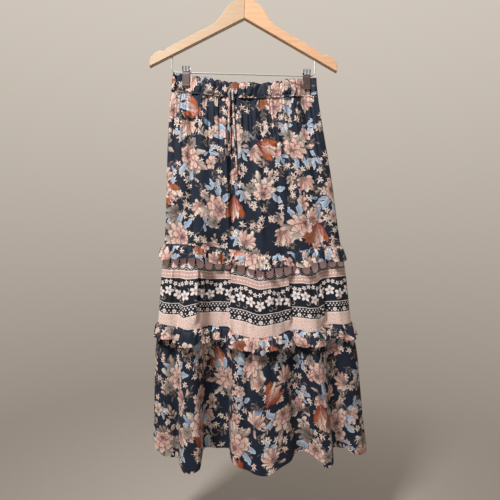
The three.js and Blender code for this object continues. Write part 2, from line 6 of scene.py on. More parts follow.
import bmesh
import bpy
import numpy as np
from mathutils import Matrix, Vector


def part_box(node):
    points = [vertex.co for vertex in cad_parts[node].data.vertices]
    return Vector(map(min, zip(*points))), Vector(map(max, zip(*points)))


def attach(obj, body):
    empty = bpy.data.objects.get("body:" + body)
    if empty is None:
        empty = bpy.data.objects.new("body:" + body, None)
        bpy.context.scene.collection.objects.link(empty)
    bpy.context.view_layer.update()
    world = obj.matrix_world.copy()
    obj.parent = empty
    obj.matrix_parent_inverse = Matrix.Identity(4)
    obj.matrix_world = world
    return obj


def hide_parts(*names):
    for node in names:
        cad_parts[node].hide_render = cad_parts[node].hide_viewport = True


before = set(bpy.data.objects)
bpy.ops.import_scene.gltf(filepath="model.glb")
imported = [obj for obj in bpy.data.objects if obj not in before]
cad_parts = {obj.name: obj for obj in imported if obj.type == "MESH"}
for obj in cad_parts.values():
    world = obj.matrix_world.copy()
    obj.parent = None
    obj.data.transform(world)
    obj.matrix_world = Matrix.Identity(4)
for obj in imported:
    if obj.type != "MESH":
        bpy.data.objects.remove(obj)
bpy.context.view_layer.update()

# Where the skirt is seen: a camera 0.9 m in front of it at half its height, soft lamps, and a pale
# floor that fades into the room's even tone.
camera_place = (0.0095, -0.9, -0.6664)
view_width_at_skirt = 1.193
sensor_width = 36.0
floor_height = -1.34
floor_reach = 2.6
floor_tone = (0.27, 0.24, 0.21, 1)
floor_fade = (0.25, 1.1)
room_tones = {"above": (0.64, 0.575, 0.505, 1), "below": (0.20, 0.162, 0.128, 1)}
room_change = (-0.58, 0.55)
room_bend = 0.9
room_front_share = 0.3
room_front_change = (-0.4, 0.3)
lamps = (
    {"name": "key", "at": (-0.95, -1.15, 1.25), "aim": (0, 0, -0.68), "size": 0.42, "power": 86},
    {"name": "fill", "at": (0.9, -1.9, -0.95), "aim": (0, 0, -0.8), "size": 1.2, "power": 5},
    {"name": "behind", "at": (0.4, 2.0, 0.3), "aim": (0, 0, -0.7), "size": 1.6, "power": 22},
)

lens = bpy.data.cameras.new("camera")
lens.sensor_width = sensor_width
lens.lens = sensor_width * -camera_place[1] / view_width_at_skirt
camera = bpy.data.objects.new("camera", lens)
camera.location = camera_place
camera.rotation_euler = (math.pi / 2, 0, 0)
bpy.context.collection.objects.link(camera)
bpy.context.scene.camera = camera
bpy.context.scene.view_settings.view_transform = "Standard"

for lamp in lamps:
    light = bpy.data.lights.new(lamp["name"], "AREA")
    light.size = lamp["size"]
    light.energy = lamp["power"]
    holder = bpy.data.objects.new(lamp["name"], light)
    holder.location = lamp["at"]
    away = Vector(lamp["at"]) - Vector(lamp["aim"])
    holder.rotation_mode = "QUATERNION"
    holder.rotation_quaternion = away.to_track_quat("Z", "Y")
    bpy.context.collection.objects.link(holder)


class Dye:
    """Adds nodes to a tree one after another, each joined to values or to earlier sockets."""

    # Sockets that have to be reached by number: the scale of a vector's sum, and a Mix node's
    # share, colour under, colour over and result.
    vector_scale = 3
    mix_share, mix_under, mix_over, mix_result = 0, 6, 7, 2

    def __init__(self, tree):
        self.tree = tree

    def node(self, kind, values=None, **settings):
        made = self.tree.nodes.new(kind)
        for name, value in settings.items():
            setattr(made, name, value)
        for key, value in (values or {}).items():
            self.join(made.inputs[key], value)
        return made

    def join(self, socket, value):
        if isinstance(value, bpy.types.NodeSocket):
            self.tree.links.new(value, socket)
        elif value is not None:
            socket.default_value = value

    def sum(self, operation, first, second=None, third=None):
        made = self.node("ShaderNodeMath", operation=operation)
        for socket, value in zip(made.inputs, (first, second, third)):
            self.join(socket, value)
        return made.outputs[0]

    def vector(self, operation, first, second=None, scale=None):
        made = self.node("ShaderNodeVectorMath", operation=operation)
        self.join(made.inputs[0], first)
        self.join(made.inputs[1], second)
        self.join(made.inputs[self.vector_scale], scale)
        return made.outputs["Value" if operation == "LENGTH" else "Vector"]

    def blend(self, share, under, over):
        made = self.node("ShaderNodeMix", data_type="RGBA", clamp_factor=True)
        self.join(made.inputs[self.mix_share], share)
        self.join(made.inputs[self.mix_under], under)
        self.join(made.inputs[self.mix_over], over)
        return made.outputs[self.mix_result]

    def spread(self, value, low, high, to_low=0.0, to_high=1.0):
        keys = {"Value": value, "From Min": low, "From Max": high, "To Min": to_low, "To Max": to_high}
        return self.node("ShaderNodeMapRange", keys, clamp=True).outputs[0]

    def after(self, value, earlier):
        """The same value, but worked out only once an earlier colour is, so that the renderer
        holds one motif of a long print at a time."""
        values = {0: earlier, 1: (1e-7, 1e-7, 1e-7), 2: value}
        return self.node("ShaderNodeVectorMath", values, operation="MULTIPLY_ADD").outputs[0]

    def parts(self, value):
        return self.node("ShaderNodeSeparateXYZ", {0: value}).outputs[:]

    def halves(self, value):
        return self.parts(value)[:2]

    def group(self, tree, *values):
        """A node group with its inputs filled in order."""
        made = self.node("ShaderNodeGroup", node_tree=tree)
        for socket, value in zip(made.inputs, values):
            self.join(socket, value)
        return made.outputs[0]


world = bpy.data.worlds.new("room")
world.use_nodes = True
dye = Dye(world.node_tree)
direction = dye.node("ShaderNodeTexCoord").outputs["Generated"]
forwards, upwards = dye.parts(direction)[1:]
share = dye.sum("POWER", dye.spread(upwards, *room_change), room_bend)
room_light = dye.blend(share, room_tones["below"], room_tones["above"])
strength = dye.spread(forwards, *room_front_change, room_front_share, 1.0)
dye.join(world.node_tree.nodes["Background"].inputs["Strength"], strength)
dye.join(world.node_tree.nodes["Background"].inputs["Color"], room_light)
bpy.context.scene.world = world


def new_finish(name):
    """A material with its shader's node and a way of adding to it."""
    made = bpy.data.materials.new(name)
    made.use_nodes = True
    shader = made.node_tree.nodes["Principled BSDF"]
    return made, shader, Dye(made.node_tree)


floor_finish, floor_shader, dye = new_finish("pale_floor")
floor_shader.inputs["Base Color"].default_value = floor_tone
floor_shader.inputs["Roughness"].default_value = 0.9
spot = dye.node("ShaderNodeTexCoord").outputs["Object"]
fade = dye.spread(dye.vector("LENGTH", spot), *floor_fade)
clear = dye.node("ShaderNodeBsdfTransparent").outputs[0]
joined = dye.node("ShaderNodeMixShader", {0: fade, 1: floor_shader.outputs[0], 2: clear})
dye.join(floor_finish.node_tree.nodes["Material Output"].inputs["Surface"], joined.outputs[0])
bpy.ops.mesh.primitive_circle_add(
    vertices=96, radius=floor_reach, fill_type="NGON", location=(0, 0, floor_height)
)
floor = bpy.context.object
floor.name = "floor"
floor.data.materials.append(floor_finish)


# The printed cloth: a light plain-weave viscose, dyed dark blue, with a generic floral print of
# peonies, open flowers, tulips, leaf sprigs and small star blossoms, scattered over it.
ground_tone = (0.016, 0.024, 0.043, 1)
deep_ground_tone = (0.0075, 0.011, 0.021, 1)
coral_tone = (0.66, 0.305, 0.25, 1)
rose_tone = (0.78, 0.43, 0.375, 1)
blush_tone = (0.78, 0.545, 0.465, 1)
cream_tone = (0.82, 0.705, 0.60, 1)
taupe_tone = (0.25, 0.195, 0.165, 1)
shadow_tone = (0.06, 0.042, 0.042, 1)
rust_tone = (0.20, 0.035, 0.016, 1)
orange_tone = (0.45, 0.125, 0.04, 1)
blue_tone = (0.34, 0.43, 0.57, 1)
slate_tone = (0.13, 0.17, 0.25, 1)
rim_tone = (0.55, 0.60, 0.655, 1)
dull_tone = (0.40, 0.325, 0.275, 1)
star_heart = (0.13, 0.095, 0.085, 1)
patch_scale = 0.027
print_wobble = 10.8
thread_pitch = 0.55


def new_motif(name, sockets):
    """A node group that lays one motif over the colour below it. Its place is in millimetres."""
    tree = bpy.data.node_groups.new(name, "ShaderNodeTree")
    for label, kind in sockets.items():
        tree.interface.new_socket(label, in_out="INPUT", socket_type=kind)
    tree.interface.new_socket("Color", in_out="OUTPUT", socket_type="NodeSocketColor")
    given = tree.nodes.new("NodeGroupInput").outputs
    result = tree.nodes.new("NodeGroupOutput").inputs[0]
    return tree, given, result, Dye(tree)


VECTOR, COLOR, NUMBER = "NodeSocketVector", "NodeSocketColor", "NodeSocketFloat"
petal_sizes = dict.fromkeys(("Radius", "Petals", "Phase", "Lobe", "Point"), NUMBER)


def petal_outline(dye, given):
    """How far a place lies from the middle to a ring's lobed edge, from 0 to 1, its angle, and
    how near it is to the seam between two petals."""
    x, y = dye.halves(given["Place"])
    turn = dye.sum("ADD", dye.sum("ARCTAN2", y, x), given["Phase"])
    half = dye.sum("DIVIDE", math.pi, given["Petals"])
    side = dye.sum("DIVIDE", dye.sum("PINGPONG", turn, half), half)
    lobe = dye.sum("MULTIPLY", dye.sum("POWER", side, given["Point"]), given["Lobe"])
    edge = dye.sum("MULTIPLY", given["Radius"], dye.sum("SUBTRACT", 1.0, lobe))
    return dye.sum("DIVIDE", dye.vector("LENGTH", given["Place"]), edge), turn, side


# A ring of petals round a middle: lobed edge, darker seams between petals and fine veins.
ring_tones = {"Under": COLOR, "Inner": COLOR, "Outer": COLOR, "Seam": COLOR}
ring, given, result, dye = new_motif("petal_ring", {"Place": VECTOR, **ring_tones, **petal_sizes})
reach, turn, side = petal_outline(dye, given)
veins = dye.sum("SINE", dye.sum("MULTIPLY", turn, dye.sum("MULTIPLY", given["Petals"], 5.0)))
tint = dye.sum("MULTIPLY_ADD", veins, 0.16, dye.sum("POWER", reach, 0.95))
petal = dye.blend(tint, given["Inner"], given["Outer"])
lines = dye.sum("MULTIPLY", dye.spread(veins, 0.2, 0.9), dye.spread(reach, 0.95, 0.25, 0, 0.8))
petal = dye.blend(lines, petal, given["Seam"])
seam = dye.sum("MULTIPLY", dye.spread(side, 0.6, 0.82), dye.spread(reach, 1.4, 0.45))
petal = dye.blend(seam, petal, given["Seam"])
petal = dye.blend(dye.spread(reach, 0.86, 0.96, 0, 0.9), petal, given["Seam"])
dye.join(result, dye.blend(dye.sum("LESS_THAN", reach, 1.0), given["Under"], petal))

# One leaf or single petal, from its base outwards: a pointed or rounded outline in two tones with
# a pale midrib. Its place has its middle at 0 and its ends at -1 and 1.
leaf_tones = {"Under": COLOR, "Base": COLOR, "Tip": COLOR, "Shade": COLOR}
leaf, given, result, dye = new_motif("leaf", {"Place": VECTOR, **leaf_tones, "Round": NUMBER})
along, side = dye.halves(given["Place"])
across = dye.sum("DIVIDE", side, dye.sum("MULTIPLY_ADD", along, 0.22, 0.85))
width = dye.sum("POWER", dye.sum("ABSOLUTE", across), given["Round"])
reach = dye.sum("MULTIPLY_ADD", along, along, width)
veins = dye.sum("SINE", dye.sum("MULTIPLY_ADD", along, 11.0, dye.sum("MULTIPLY", width, -9.0)))
tint = dye.sum("MULTIPLY_ADD", along, 0.5, dye.sum("MULTIPLY_ADD", veins, 0.12, 0.5))
petal = dye.blend(tint, given["Base"], given["Tip"])
lines = dye.sum("SINE", dye.sum("MULTIPLY", across, 13.0))
lines = dye.sum("MULTIPLY", dye.spread(lines, 0.1, 0.8), dye.spread(along, 0.7, -0.6, 0, 0.75))
petal = dye.blend(lines, petal, given["Shade"])
petal = dye.blend(dye.spread(across, 0.04, 0.35, 0, 0.45), petal, given["Shade"])
petal = dye.blend(dye.spread(reach, 0.74, 0.92, 0, 0.9), petal, given["Shade"])
dye.join(result, dye.blend(dye.sum("LESS_THAN", reach, 1.0), given["Under"], petal))


def add_ring(dye, place, under, inner, outer, seam, radius, petals, phase=0.0, lobe=0.3, point=2.5):
    place = dye.after(place, under)
    return dye.group(ring, place, under, inner, outer, seam, radius, petals, phase, lobe, point)


def add_leaf(dye, place, under, at, turn, length, width, base, tip, shade, roundness=1.25):
    """A leaf from its foot, at (x, y) in millimetres, pointing turn degrees round."""
    angle = math.radians(turn)
    middle = (at[0] + length / 2 * math.cos(angle), at[1] + length / 2 * math.sin(angle), 0)
    held = dye.node("ShaderNodeMapping", {0: dye.after(place, under)}, vector_type="TEXTURE")
    held.inputs["Location"].default_value = middle
    held.inputs["Rotation"].default_value = (0, 0, angle)
    held.inputs["Scale"].default_value = (length / 2, width / 2, 1)
    return dye.group(leaf, held.outputs[0], under, base, tip, shade, roundness)


def add_stem(dye, place, under, tone, bend, start, end, thickness):
    """A thin bowed line along x, from start to end in millimetres."""
    x, y = dye.halves(dye.after(place, under))
    rise = dye.sum("MULTIPLY", dye.sum("MULTIPLY", x, x), bend)
    near = dye.sum("LESS_THAN", dye.sum("ABSOLUTE", dye.sum("SUBTRACT", y, rise)), thickness / 2)
    inside = dye.sum("COMPARE", x, (start + end) / 2, (end - start) / 2)
    return dye.blend(dye.sum("MULTIPLY", near, inside), under, tone)


def shifted(dye, place, x, y):
    return dye.vector("SUBTRACT", place, (x, y, 0))


# A small flat blossom or star with a darker heart and notched petals.
blossom_tones = {"Under": COLOR, "Tone": COLOR, "Heart": COLOR}
blossom, given, result, dye = new_motif("blossom", {"Place": VECTOR, **blossom_tones, **petal_sizes})
reach, turn, side = petal_outline(dye, given)
petal = dye.blend(dye.spread(reach, 0.16, 0.42), given["Heart"], given["Tone"])
notch = dye.sum("MULTIPLY", dye.spread(side, 0.6, 0.9), dye.spread(reach, 1.2, 0.4, 0, 0.85))
petal = dye.blend(notch, petal, given["Heart"])
dye.join(result, dye.blend(dye.sum("LESS_THAN", reach, 1.0), given["Under"], petal))


def add_blossom(dye, place, under, tone, heart, radius, petals, phase=0.0, lobe=0.35, point=2.0):
    place = dye.after(place, under)
    return dye.group(blossom, place, under, tone, heart, radius, petals, phase, lobe, point)


motif_inputs = {"Place": VECTOR, "Under": COLOR, "Chance": COLOR}

# A full peony seen a little from one side, with a rust carnation, pale blue leaves and a cream one.
peony, given, result, dye = new_motif("peony", motif_inputs)
place = given["Place"]
look = add_leaf(dye, place, given["Under"], (8, 10), 66, 30, 13, slate_tone, blue_tone, rim_tone)
look = add_leaf(dye, place, look, (14, 6), 26, 27, 12, slate_tone, blue_tone, rim_tone)
look = add_leaf(dye, place, look, (-4, -10), 285, 30, 12, taupe_tone, cream_tone, taupe_tone)
look = add_leaf(dye, place, look, (12, -8), 322, 30, 12, taupe_tone, blush_tone, shadow_tone)
tone = dye.blend(dye.halves(given["Chance"])[1], blush_tone, cream_tone)
squashed = dye.vector("MULTIPLY", place, (1.0, 1.34, 1.0))
look = add_ring(dye, squashed, look, coral_tone, tone, shadow_tone, 29, 7, 0.3, 0.42, 1.8)
upper = shifted(dye, squashed, -3, 5)
look = add_ring(dye, upper, look, coral_tone, blush_tone, shadow_tone, 21, 6, 1.1, 0.4, 1.8)
upper = shifted(dye, squashed, -5.5, 9)
look = add_ring(dye, upper, look, shadow_tone, rose_tone, shadow_tone, 12.5, 5, 0.2, 0.34, 1.8)
look = add_ring(dye, upper, look, shadow_tone, taupe_tone, shadow_tone, 4.5, 8, 0.0, 0.4, 1.5)
rusty = dye.sum("GREATER_THAN", dye.halves(given["Chance"])[0], 0.62)
outer = dye.blend(rusty, dull_tone, orange_tone)
inner = dye.blend(rusty, taupe_tone, rust_tone)
carnation = shifted(dye, place, -25, -15)
look = add_ring(dye, carnation, look, inner, outer, shadow_tone, 13, 9, 0.5, 0.42, 1.4)
look = add_ring(dye, carnation, look, shadow_tone, outer, shadow_tone, 7, 7, 0.1, 0.4, 1.4)
dye.join(result, look)

# A flower seen from the side: long petals fanned up from a small cup on a bowed stem. One in five
# is the duller taupe of a faded one.
fan, given, result, dye = new_motif("side_flower", motif_inputs)
place = given["Place"]
chance = dye.halves(given["Chance"])
dull = dye.sum("GREATER_THAN", chance[0], 0.8)
look = add_stem(dye, place, given["Under"], taupe_tone, 0.012, -30, -8, 1.1)
look = add_leaf(dye, place, look, (-22, 2), 128, 17, 7, taupe_tone, blush_tone, taupe_tone)
tone = dye.blend(chance[1], blush_tone, rose_tone)
base = dye.blend(dull, coral_tone, shadow_tone)
for turn, length, width, tip in (
    (84, 19, 10, cream_tone),
    (-82, 18, 10, cream_tone),
    (56, 24, 11, tone),
    (-54, 25, 11, cream_tone),
    (30, 28, 12, tone),
    (-27, 27, 12, tone),
    (2, 30, 13, cream_tone),
):
    tip = dye.blend(dull, tip, dull_tone)
    look = add_leaf(dye, place, look, (-12, 0), turn, length, width, base, tip, shadow_tone, 1.5)
look = add_leaf(dye, place, look, (-17, 0), 0, 12, 7, taupe_tone, taupe_tone, shadow_tone, 1.6)
dye.join(result, look)

# A long tulip striped in rust and pink, with two slim leaves.
tulip, given, result, dye = new_motif("tulip", motif_inputs)
place = given["Place"]
look = add_stem(dye, place, given["Under"], taupe_tone, -0.01, -36, -16, 1.2)
look = add_leaf(dye, place, look, (-26, -3), 205, 22, 8, slate_tone, blue_tone, slate_tone)
look = add_leaf(dye, place, look, (-20, 0), 25, 46, 15, rust_tone, orange_tone, rust_tone)
look = add_leaf(dye, place, look, (-20, 0), -22, 48, 15, rust_tone, orange_tone, rust_tone)
look = add_leaf(dye, place, look, (-20, 0), 9, 50, 15, rust_tone, blush_tone, rust_tone)
look = add_leaf(dye, place, look, (-20, 0), -6, 47, 12, coral_tone, cream_tone, rust_tone)
look = add_leaf(dye, place, look, (-20, -1), -15, 33, 8, rust_tone, coral_tone, rust_tone)
dye.join(result, look)

# A sprig: a tip leaf and two pairs of leaves on a stem. The pairs are mirrored across it.
sprig_inputs = {**motif_inputs, "Base": COLOR, "Tip": COLOR}
sprig, given, result, dye = new_motif("sprig", sprig_inputs)
place = given["Place"]
base, tip = given["Base"], given["Tip"]
x, y = dye.halves(place)
pair = dye.node("ShaderNodeCombineXYZ", {0: x, 1: dye.sum("ABSOLUTE", y)}).outputs[0]
look = add_stem(dye, place, given["Under"], taupe_tone, 0.0, -18, 10, 0.9)
look = add_leaf(dye, pair, look, (-12, 0), 48, 15, 6.5, base, tip, base)
look = add_leaf(dye, pair, look, (-3, 0), 40, 14, 6, base, tip, base)
look = add_leaf(dye, place, look, (5, 0), 4, 16, 7, base, tip, base)
dye.join(result, look)

# Four broad pale blue leaves with lighter rims, spread from one foot.
blades, given, result, dye = new_motif("blue_leaves", motif_inputs)
place = given["Place"]
look = add_stem(dye, place, given["Under"], slate_tone, 0.02, -24, 0, 1.2)
look = add_leaf(dye, place, look, (-8, 0), 118, 17, 8, slate_tone, blue_tone, rim_tone, 1.5)
look = add_leaf(dye, place, look, (-4, 0), -64, 22, 10, slate_tone, blue_tone, rim_tone, 1.5)
look = add_leaf(dye, place, look, (-2, 0), 52, 24, 11, slate_tone, blue_tone, rim_tone, 1.5)
look = add_leaf(dye, place, look, (0, 0), -8, 24, 10, slate_tone, blue_tone, rim_tone, 1.5)
dye.join(result, look)

# An open flower of five broad petals with a dark ringed middle, seen a little from one side.
bloom, given, result, dye = new_motif("open_flower", motif_inputs)
tone = dye.blend(dye.halves(given["Chance"])[1], rose_tone, cream_tone)
squashed = dye.vector("MULTIPLY", given["Place"], (1.0, 1.28, 1.0))
look = add_ring(dye, squashed, given["Under"], coral_tone, tone, shadow_tone, 18, 5, 0, 0.46, 1.8)
upper = shifted(dye, squashed, -1.5, 1.5)
look = add_ring(dye, upper, look, shadow_tone, tone, shadow_tone, 8, 6, 0.6, 0.4, 1.6)
look = add_ring(dye, upper, look, shadow_tone, taupe_tone, shadow_tone, 3, 9, 0, 0.3, 1)
dye.join(result, look)

# A star blossom of pointed petals.
star, given, result, dye = new_motif("star_blossom", motif_inputs)
tone = dye.blend(dye.halves(given["Chance"])[1], blush_tone, cream_tone)
look = add_stem(dye, given["Place"], given["Under"], taupe_tone, 0.01, -15, 4, 0.8)
look = add_blossom(dye, given["Place"], look, tone, star_heart, 9.6, 6, 0, 0.72, 0.75)
dye.join(result, look)


def scatter(dye, cloth, under, motif, pitch, looseness, turn, shift, crowd=0.0, size=1.0, **tones):
    """Lays one motif over the cloth about once in each pitch of millimetres, turned at random.

    A higher crowd, up to 1, keeps only those in the fuller patches of the print."""
    cloth = dye.after(cloth, under)
    held = dye.node("ShaderNodeMapping", {0: cloth}, vector_type="TEXTURE")
    back = dye.node("ShaderNodeMapping")
    for mapping in (held, back):
        mapping.inputs["Location"].default_value = (*shift, 0)
        mapping.inputs["Rotation"].default_value = (0, 0, math.radians(turn))
        mapping.inputs["Scale"].default_value = (pitch, pitch, pitch)
    cells = dye.node("ShaderNodeTexVoronoi", {"Vector": held.outputs[0]}, voronoi_dimensions="2D")
    cells.inputs["Scale"].default_value = 1
    cells.inputs["Randomness"].default_value = looseness
    near = dye.vector("SUBTRACT", held.outputs[0], cells.outputs["Position"])
    near = dye.vector("SCALE", near, scale=pitch / size)
    chance = cells.outputs["Color"]
    angle = dye.sum("MULTIPLY", dye.parts(chance)[2], math.tau)
    turned = dye.node("ShaderNodeVectorRotate", {"Vector": near, "Angle": angle})
    turned.rotation_type = "Z_AXIS"
    values = {"Place": turned.outputs[0], "Under": under, "Chance": chance, **tones}
    laid = dye.node("ShaderNodeGroup", values, node_tree=motif).outputs[0]
    dye.join(back.inputs[0], cells.outputs["Position"])
    patches = dye.node("ShaderNodeTexNoise", {"Vector": back.outputs[0]}, noise_dimensions="2D")
    patches.inputs["Scale"].default_value = patch_scale
    patches.inputs["Detail"].default_value = 0
    return dye.blend(dye.sum("GREATER_THAN", patches.outputs["Fac"], crowd), under, laid)


floral, given, result, dye = new_motif("floral_print", {"Cloth": VECTOR})
cloth = given["Cloth"]
wobble = dye.node("ShaderNodeTexNoise", {"Vector": cloth}, noise_dimensions="2D")
wobble.inputs["Scale"].default_value = 0.09
wobble.inputs["Detail"].default_value = 2
centred = dye.vector("SUBTRACT", wobble.outputs["Color"], (0.5, 0.5, 0.5))
cloth = dye.vector("ADD", cloth, dye.vector("SCALE", centred, scale=print_wobble))
slub = dye.node("ShaderNodeTexNoise", {"Vector": cloth}, noise_dimensions="2D")
slub.inputs["Scale"].default_value = 0.03
look = dye.blend(slub.outputs["Fac"], deep_ground_tone, ground_tone)
cream = {"Base": taupe_tone, "Tip": blush_tone}
brown = {"Base": shadow_tone, "Tip": taupe_tone}
look = scatter(dye, cloth, look, sprig, 50, 0.25, 31, (8, 3), 0.3, **brown)
look = scatter(dye, cloth, look, star, 22.5, 0.16, 12, (0, 0), 0.54)
look = scatter(dye, cloth, look, sprig, 62, 0.3, -22, (30, 12), 0.42, **cream)
look = scatter(dye, cloth, look, blades, 92, 0.3, 8, (0, 31), 0.34)
look = scatter(dye, cloth, look, star, 41, 0.5, 41, (5, 9), 0.38, 0.95)
look = scatter(dye, cloth, look, bloom, 84, 0.5, 23, (17, 5), 0.44, 1.05)
look = scatter(dye, cloth, look, fan, 92, 0.3, -13, (3, 40), 0.36, 1.2)
look = scatter(dye, cloth, look, tulip, 190, 0.3, 19, (20, 66), 0.0, 1.25)
look = scatter(dye, cloth, look, peony, 134, 0.28, -33, (55, 10), 0.0, 1.24)
dye.join(result, look)

# The border print, in bands that run along the middle tier. Its sizes are in millimetres: a height
# is how far a row lies below the tier's upper seam, and a pitch and a shift run along it. An arch
# is its height and its rise, and a curl is its pitch, shift and height.
border_pink = (0.62, 0.395, 0.345, 1)
lobe_pink = (0.99, 0.65, 0.64, 1)
border_cream = (0.86, 0.70, 0.61, 1)
border_white = (0.85, 0.745, 0.715, 1)
speck_tone = (0.86, 0.665, 0.585, 1)
border_heart = (0.36, 0.29, 0.275, 1)
border_ground = (0.0135, 0.0155, 0.022, 1)
lobe_pitch = 25
lobe_foot = 47.5
lobe_rise = 12
lobe_share = 0.8
lobe_roundness = 5.0
arches = ((44.5, 6), (50.6, 8), (56.4, 9))
arch_half_thickness = 0.85
arch_strength = 0.8
lobes_end = 53
cream_lines = ((53, 55.2), (70, 72), (156.3, 158.8))
stripe = (55.2, 70)
white_line = (130.2, 131.8)
speckled_from = 158.8
ovals = {"pitch": 8, "height": 62.6, "half_length": 2.8, "half_width": 1.7}
garland = {"pitch": 11.6, "height": 83.5, "radius": 5.9, "wave": (4.2, 56)}
large_flowers = {"pitch": 23.5, "height": 106, "radius": 12.4, "wave": (5.5, 73)}
curls = ((44, 6, 97), (44, 29, 119.5), (61, 40, 98), (61, 12, 121))
curl_radius = 4.2
curl_half_thickness = 0.45
dots = {"pitch": 7.8, "radius": 1.7, "rows": ((135.6, 0), (140.2, 3.9))}
small_flowers = {"pitch": 24.5, "height": 149.6, "radius": 5.4}
small_dots = {"pitch": 24.5, "radius": 1.5, "rows": ((147.5, 12.2), (152.6, 8), (152.6, 16.4))}
rings = {"pitch": 18, "radii": (6.0, 3.5), "half_thickness": 0.5, "rows": ((165, 0), (176, 9))}
ring_strength = 0.6


def between(dye, place, low, high):
    return dye.sum("COMPARE", place, (low + high) / 2, (high - low) / 2)


def in_row(dye, cloth, pitch, height, shift=0.0, wave=None):
    """A place measured from the nearest of a row of points, and that point's own place along. A
    wave, given by its rise and its length, carries the row up and down."""
    along, down = cloth
    moved = dye.sum("ADD", along, float(shift))
    near = dye.sum("WRAP", moved, pitch / 2, -pitch / 2)
    middle = dye.sum("SUBTRACT", moved, near)
    level = height
    if wave:
        swing = dye.sum("SINE", dye.sum("MULTIPLY", middle, math.tau / wave[1]))
        level = dye.sum("MULTIPLY_ADD", swing, float(wave[0]), float(height))
    place = dye.node("ShaderNodeCombineXYZ", {0: near, 1: dye.sum("SUBTRACT", down, level)})
    return place.outputs[0], middle


def add_flower_row(dye, cloth, under, row, petals, lobe, point=2.0):
    place, middle = in_row(dye, cloth, row["pitch"], row["height"], wave=row.get("wave"))
    tones = (border_white, border_heart)
    return add_blossom(dye, place, under, *tones, row["radius"], petals, middle, lobe, point)


def add_dots(dye, cloth, under, dots):
    for height, shift in dots["rows"]:
        place = in_row(dye, cloth, dots["pitch"], height, shift)[0]
        dot = dye.sum("LESS_THAN", dye.vector("LENGTH", place), dots["radius"])
        under = dye.blend(dot, under, border_white)
    return under


border, given, result, dye = new_motif("border_print", {"Cloth": VECTOR})
cloth = dye.halves(given["Cloth"])
along, down = cloth
share = dye.sum("DIVIDE", dye.sum("PINGPONG", along, lobe_pitch / 2), lobe_pitch / 2)
rounded = dye.sum("POWER", dye.sum("DIVIDE", share, lobe_share), lobe_roundness)
lobe_edge = dye.sum("MULTIPLY_ADD", rounded, float(lobe_rise), down)
look = dye.blend(dye.sum("LESS_THAN", lobe_edge, float(lobe_foot)), border_ground, lobe_pink)
for height, rise in arches:
    arch = dye.sum("MULTIPLY_ADD", share, float(rise), down)
    line = dye.sum("COMPARE", arch, float(height), arch_half_thickness)
    look = dye.blend(dye.sum("MULTIPLY", line, arch_strength), look, border_white)
look = dye.blend(dye.sum("GREATER_THAN", down, float(lobes_end)), look, border_ground)
look = dye.blend(between(dye, down, *stripe), look, border_pink)
place = in_row(dye, cloth, ovals["pitch"], ovals["height"])[0]
oval = dye.vector("DIVIDE", place, (ovals["half_length"], ovals["half_width"], 1))
inside = dye.sum("LESS_THAN", dye.vector("LENGTH", oval), 1.0)
look = dye.blend(inside, look, border_cream)
for line in cream_lines:
    look = dye.blend(between(dye, down, *line), look, border_cream)
look = dye.blend(between(dye, down, *white_line), look, border_white)
look = add_flower_row(dye, cloth, look, garland, 5, 0.6, 1.2)
for pitch, shift, height in curls:
    place = in_row(dye, cloth, pitch, height, shift)[0]
    x, y = dye.halves(place)
    line = dye.sum("COMPARE", dye.vector("LENGTH", place), curl_radius, curl_half_thickness)
    line = dye.sum("MULTIPLY", line, dye.spread(dye.sum("ADD", x, y), -4.5, -1, 0, 0.7))
    look = dye.blend(line, look, border_white)
look = add_flower_row(dye, cloth, look, large_flowers, 5, 0.58, 1.7)
look = add_dots(dye, cloth, look, dots)
look = add_flower_row(dye, cloth, look, small_flowers, 6, 0.34)
look = add_dots(dye, cloth, look, small_dots)
specks = dye.node("ShaderNodeTexVoronoi", {"Vector": given["Cloth"]}, voronoi_dimensions="2D")
specks.inputs["Scale"].default_value = 0.4
speckle = dye.spread(specks.outputs["Distance"], 0.3, 0.62)
speckled = dye.blend(speckle, speck_tone, border_pink)
for height, shift in rings["rows"]:
    place = in_row(dye, cloth, rings["pitch"], height, shift)[0]
    for radius in rings["radii"]:
        line = dye.sum("COMPARE", dye.vector("LENGTH", place), radius, rings["half_thickness"])
        speckled = dye.blend(dye.sum("MULTIPLY", line, ring_strength), speckled, border_cream)
look = dye.blend(dye.sum("GREATER_THAN", down, speckled_from), look, speckled)
dye.join(result, look)


def weave(dye, shader, cloth):
    """Fine plain weave: crossed threads in the surface and a soft, slightly napped sheen."""
    x, y = dye.halves(cloth)
    warp = dye.sum("SINE", dye.sum("MULTIPLY", x, math.tau / thread_pitch))
    weft = dye.sum("SINE", dye.sum("MULTIPLY", y, math.tau / thread_pitch))
    crossed = dye.sum("MULTIPLY", warp, weft)
    bump = dye.node("ShaderNodeBump", {"Height": crossed})
    bump.inputs["Strength"].default_value = 0.12
    bump.inputs["Distance"].default_value = 0.0002
    dye.join(shader.inputs["Normal"], bump.outputs[0])
    uneven = dye.node("ShaderNodeTexNoise", {"Vector": cloth}, noise_dimensions="2D")
    uneven.inputs["Scale"].default_value = 0.4
    dye.join(shader.inputs["Roughness"], dye.spread(uneven.outputs["Fac"], 0.2, 0.8, 0.66, 0.82))
    shader.inputs["Sheen Weight"].default_value = 0.04
    shader.inputs["Sheen Roughness"].default_value = 0.4
    shader.inputs["Specular IOR Level"].default_value = 0.22


def cloth_finish(name, printed, fading=0.0):
    """The cloth with a print on it, laid by places on the cut cloth in millimetres, and greyed by
    fading on its wrong side."""
    made, shader, dye = new_finish(name)
    laid = dye.node("ShaderNodeUVMap", uv_map="cut").outputs[0]
    cloth = dye.vector("SCALE", laid, scale=1000.0)
    look = dye.node("ShaderNodeGroup", {"Cloth": cloth}, node_tree=printed).outputs[0]
    if fading:
        look = dye.blend(fading, look, wrong_side_tone)
    dye.join(shader.inputs["Base Color"], look)
    weave(dye, shader, cloth)
    return made


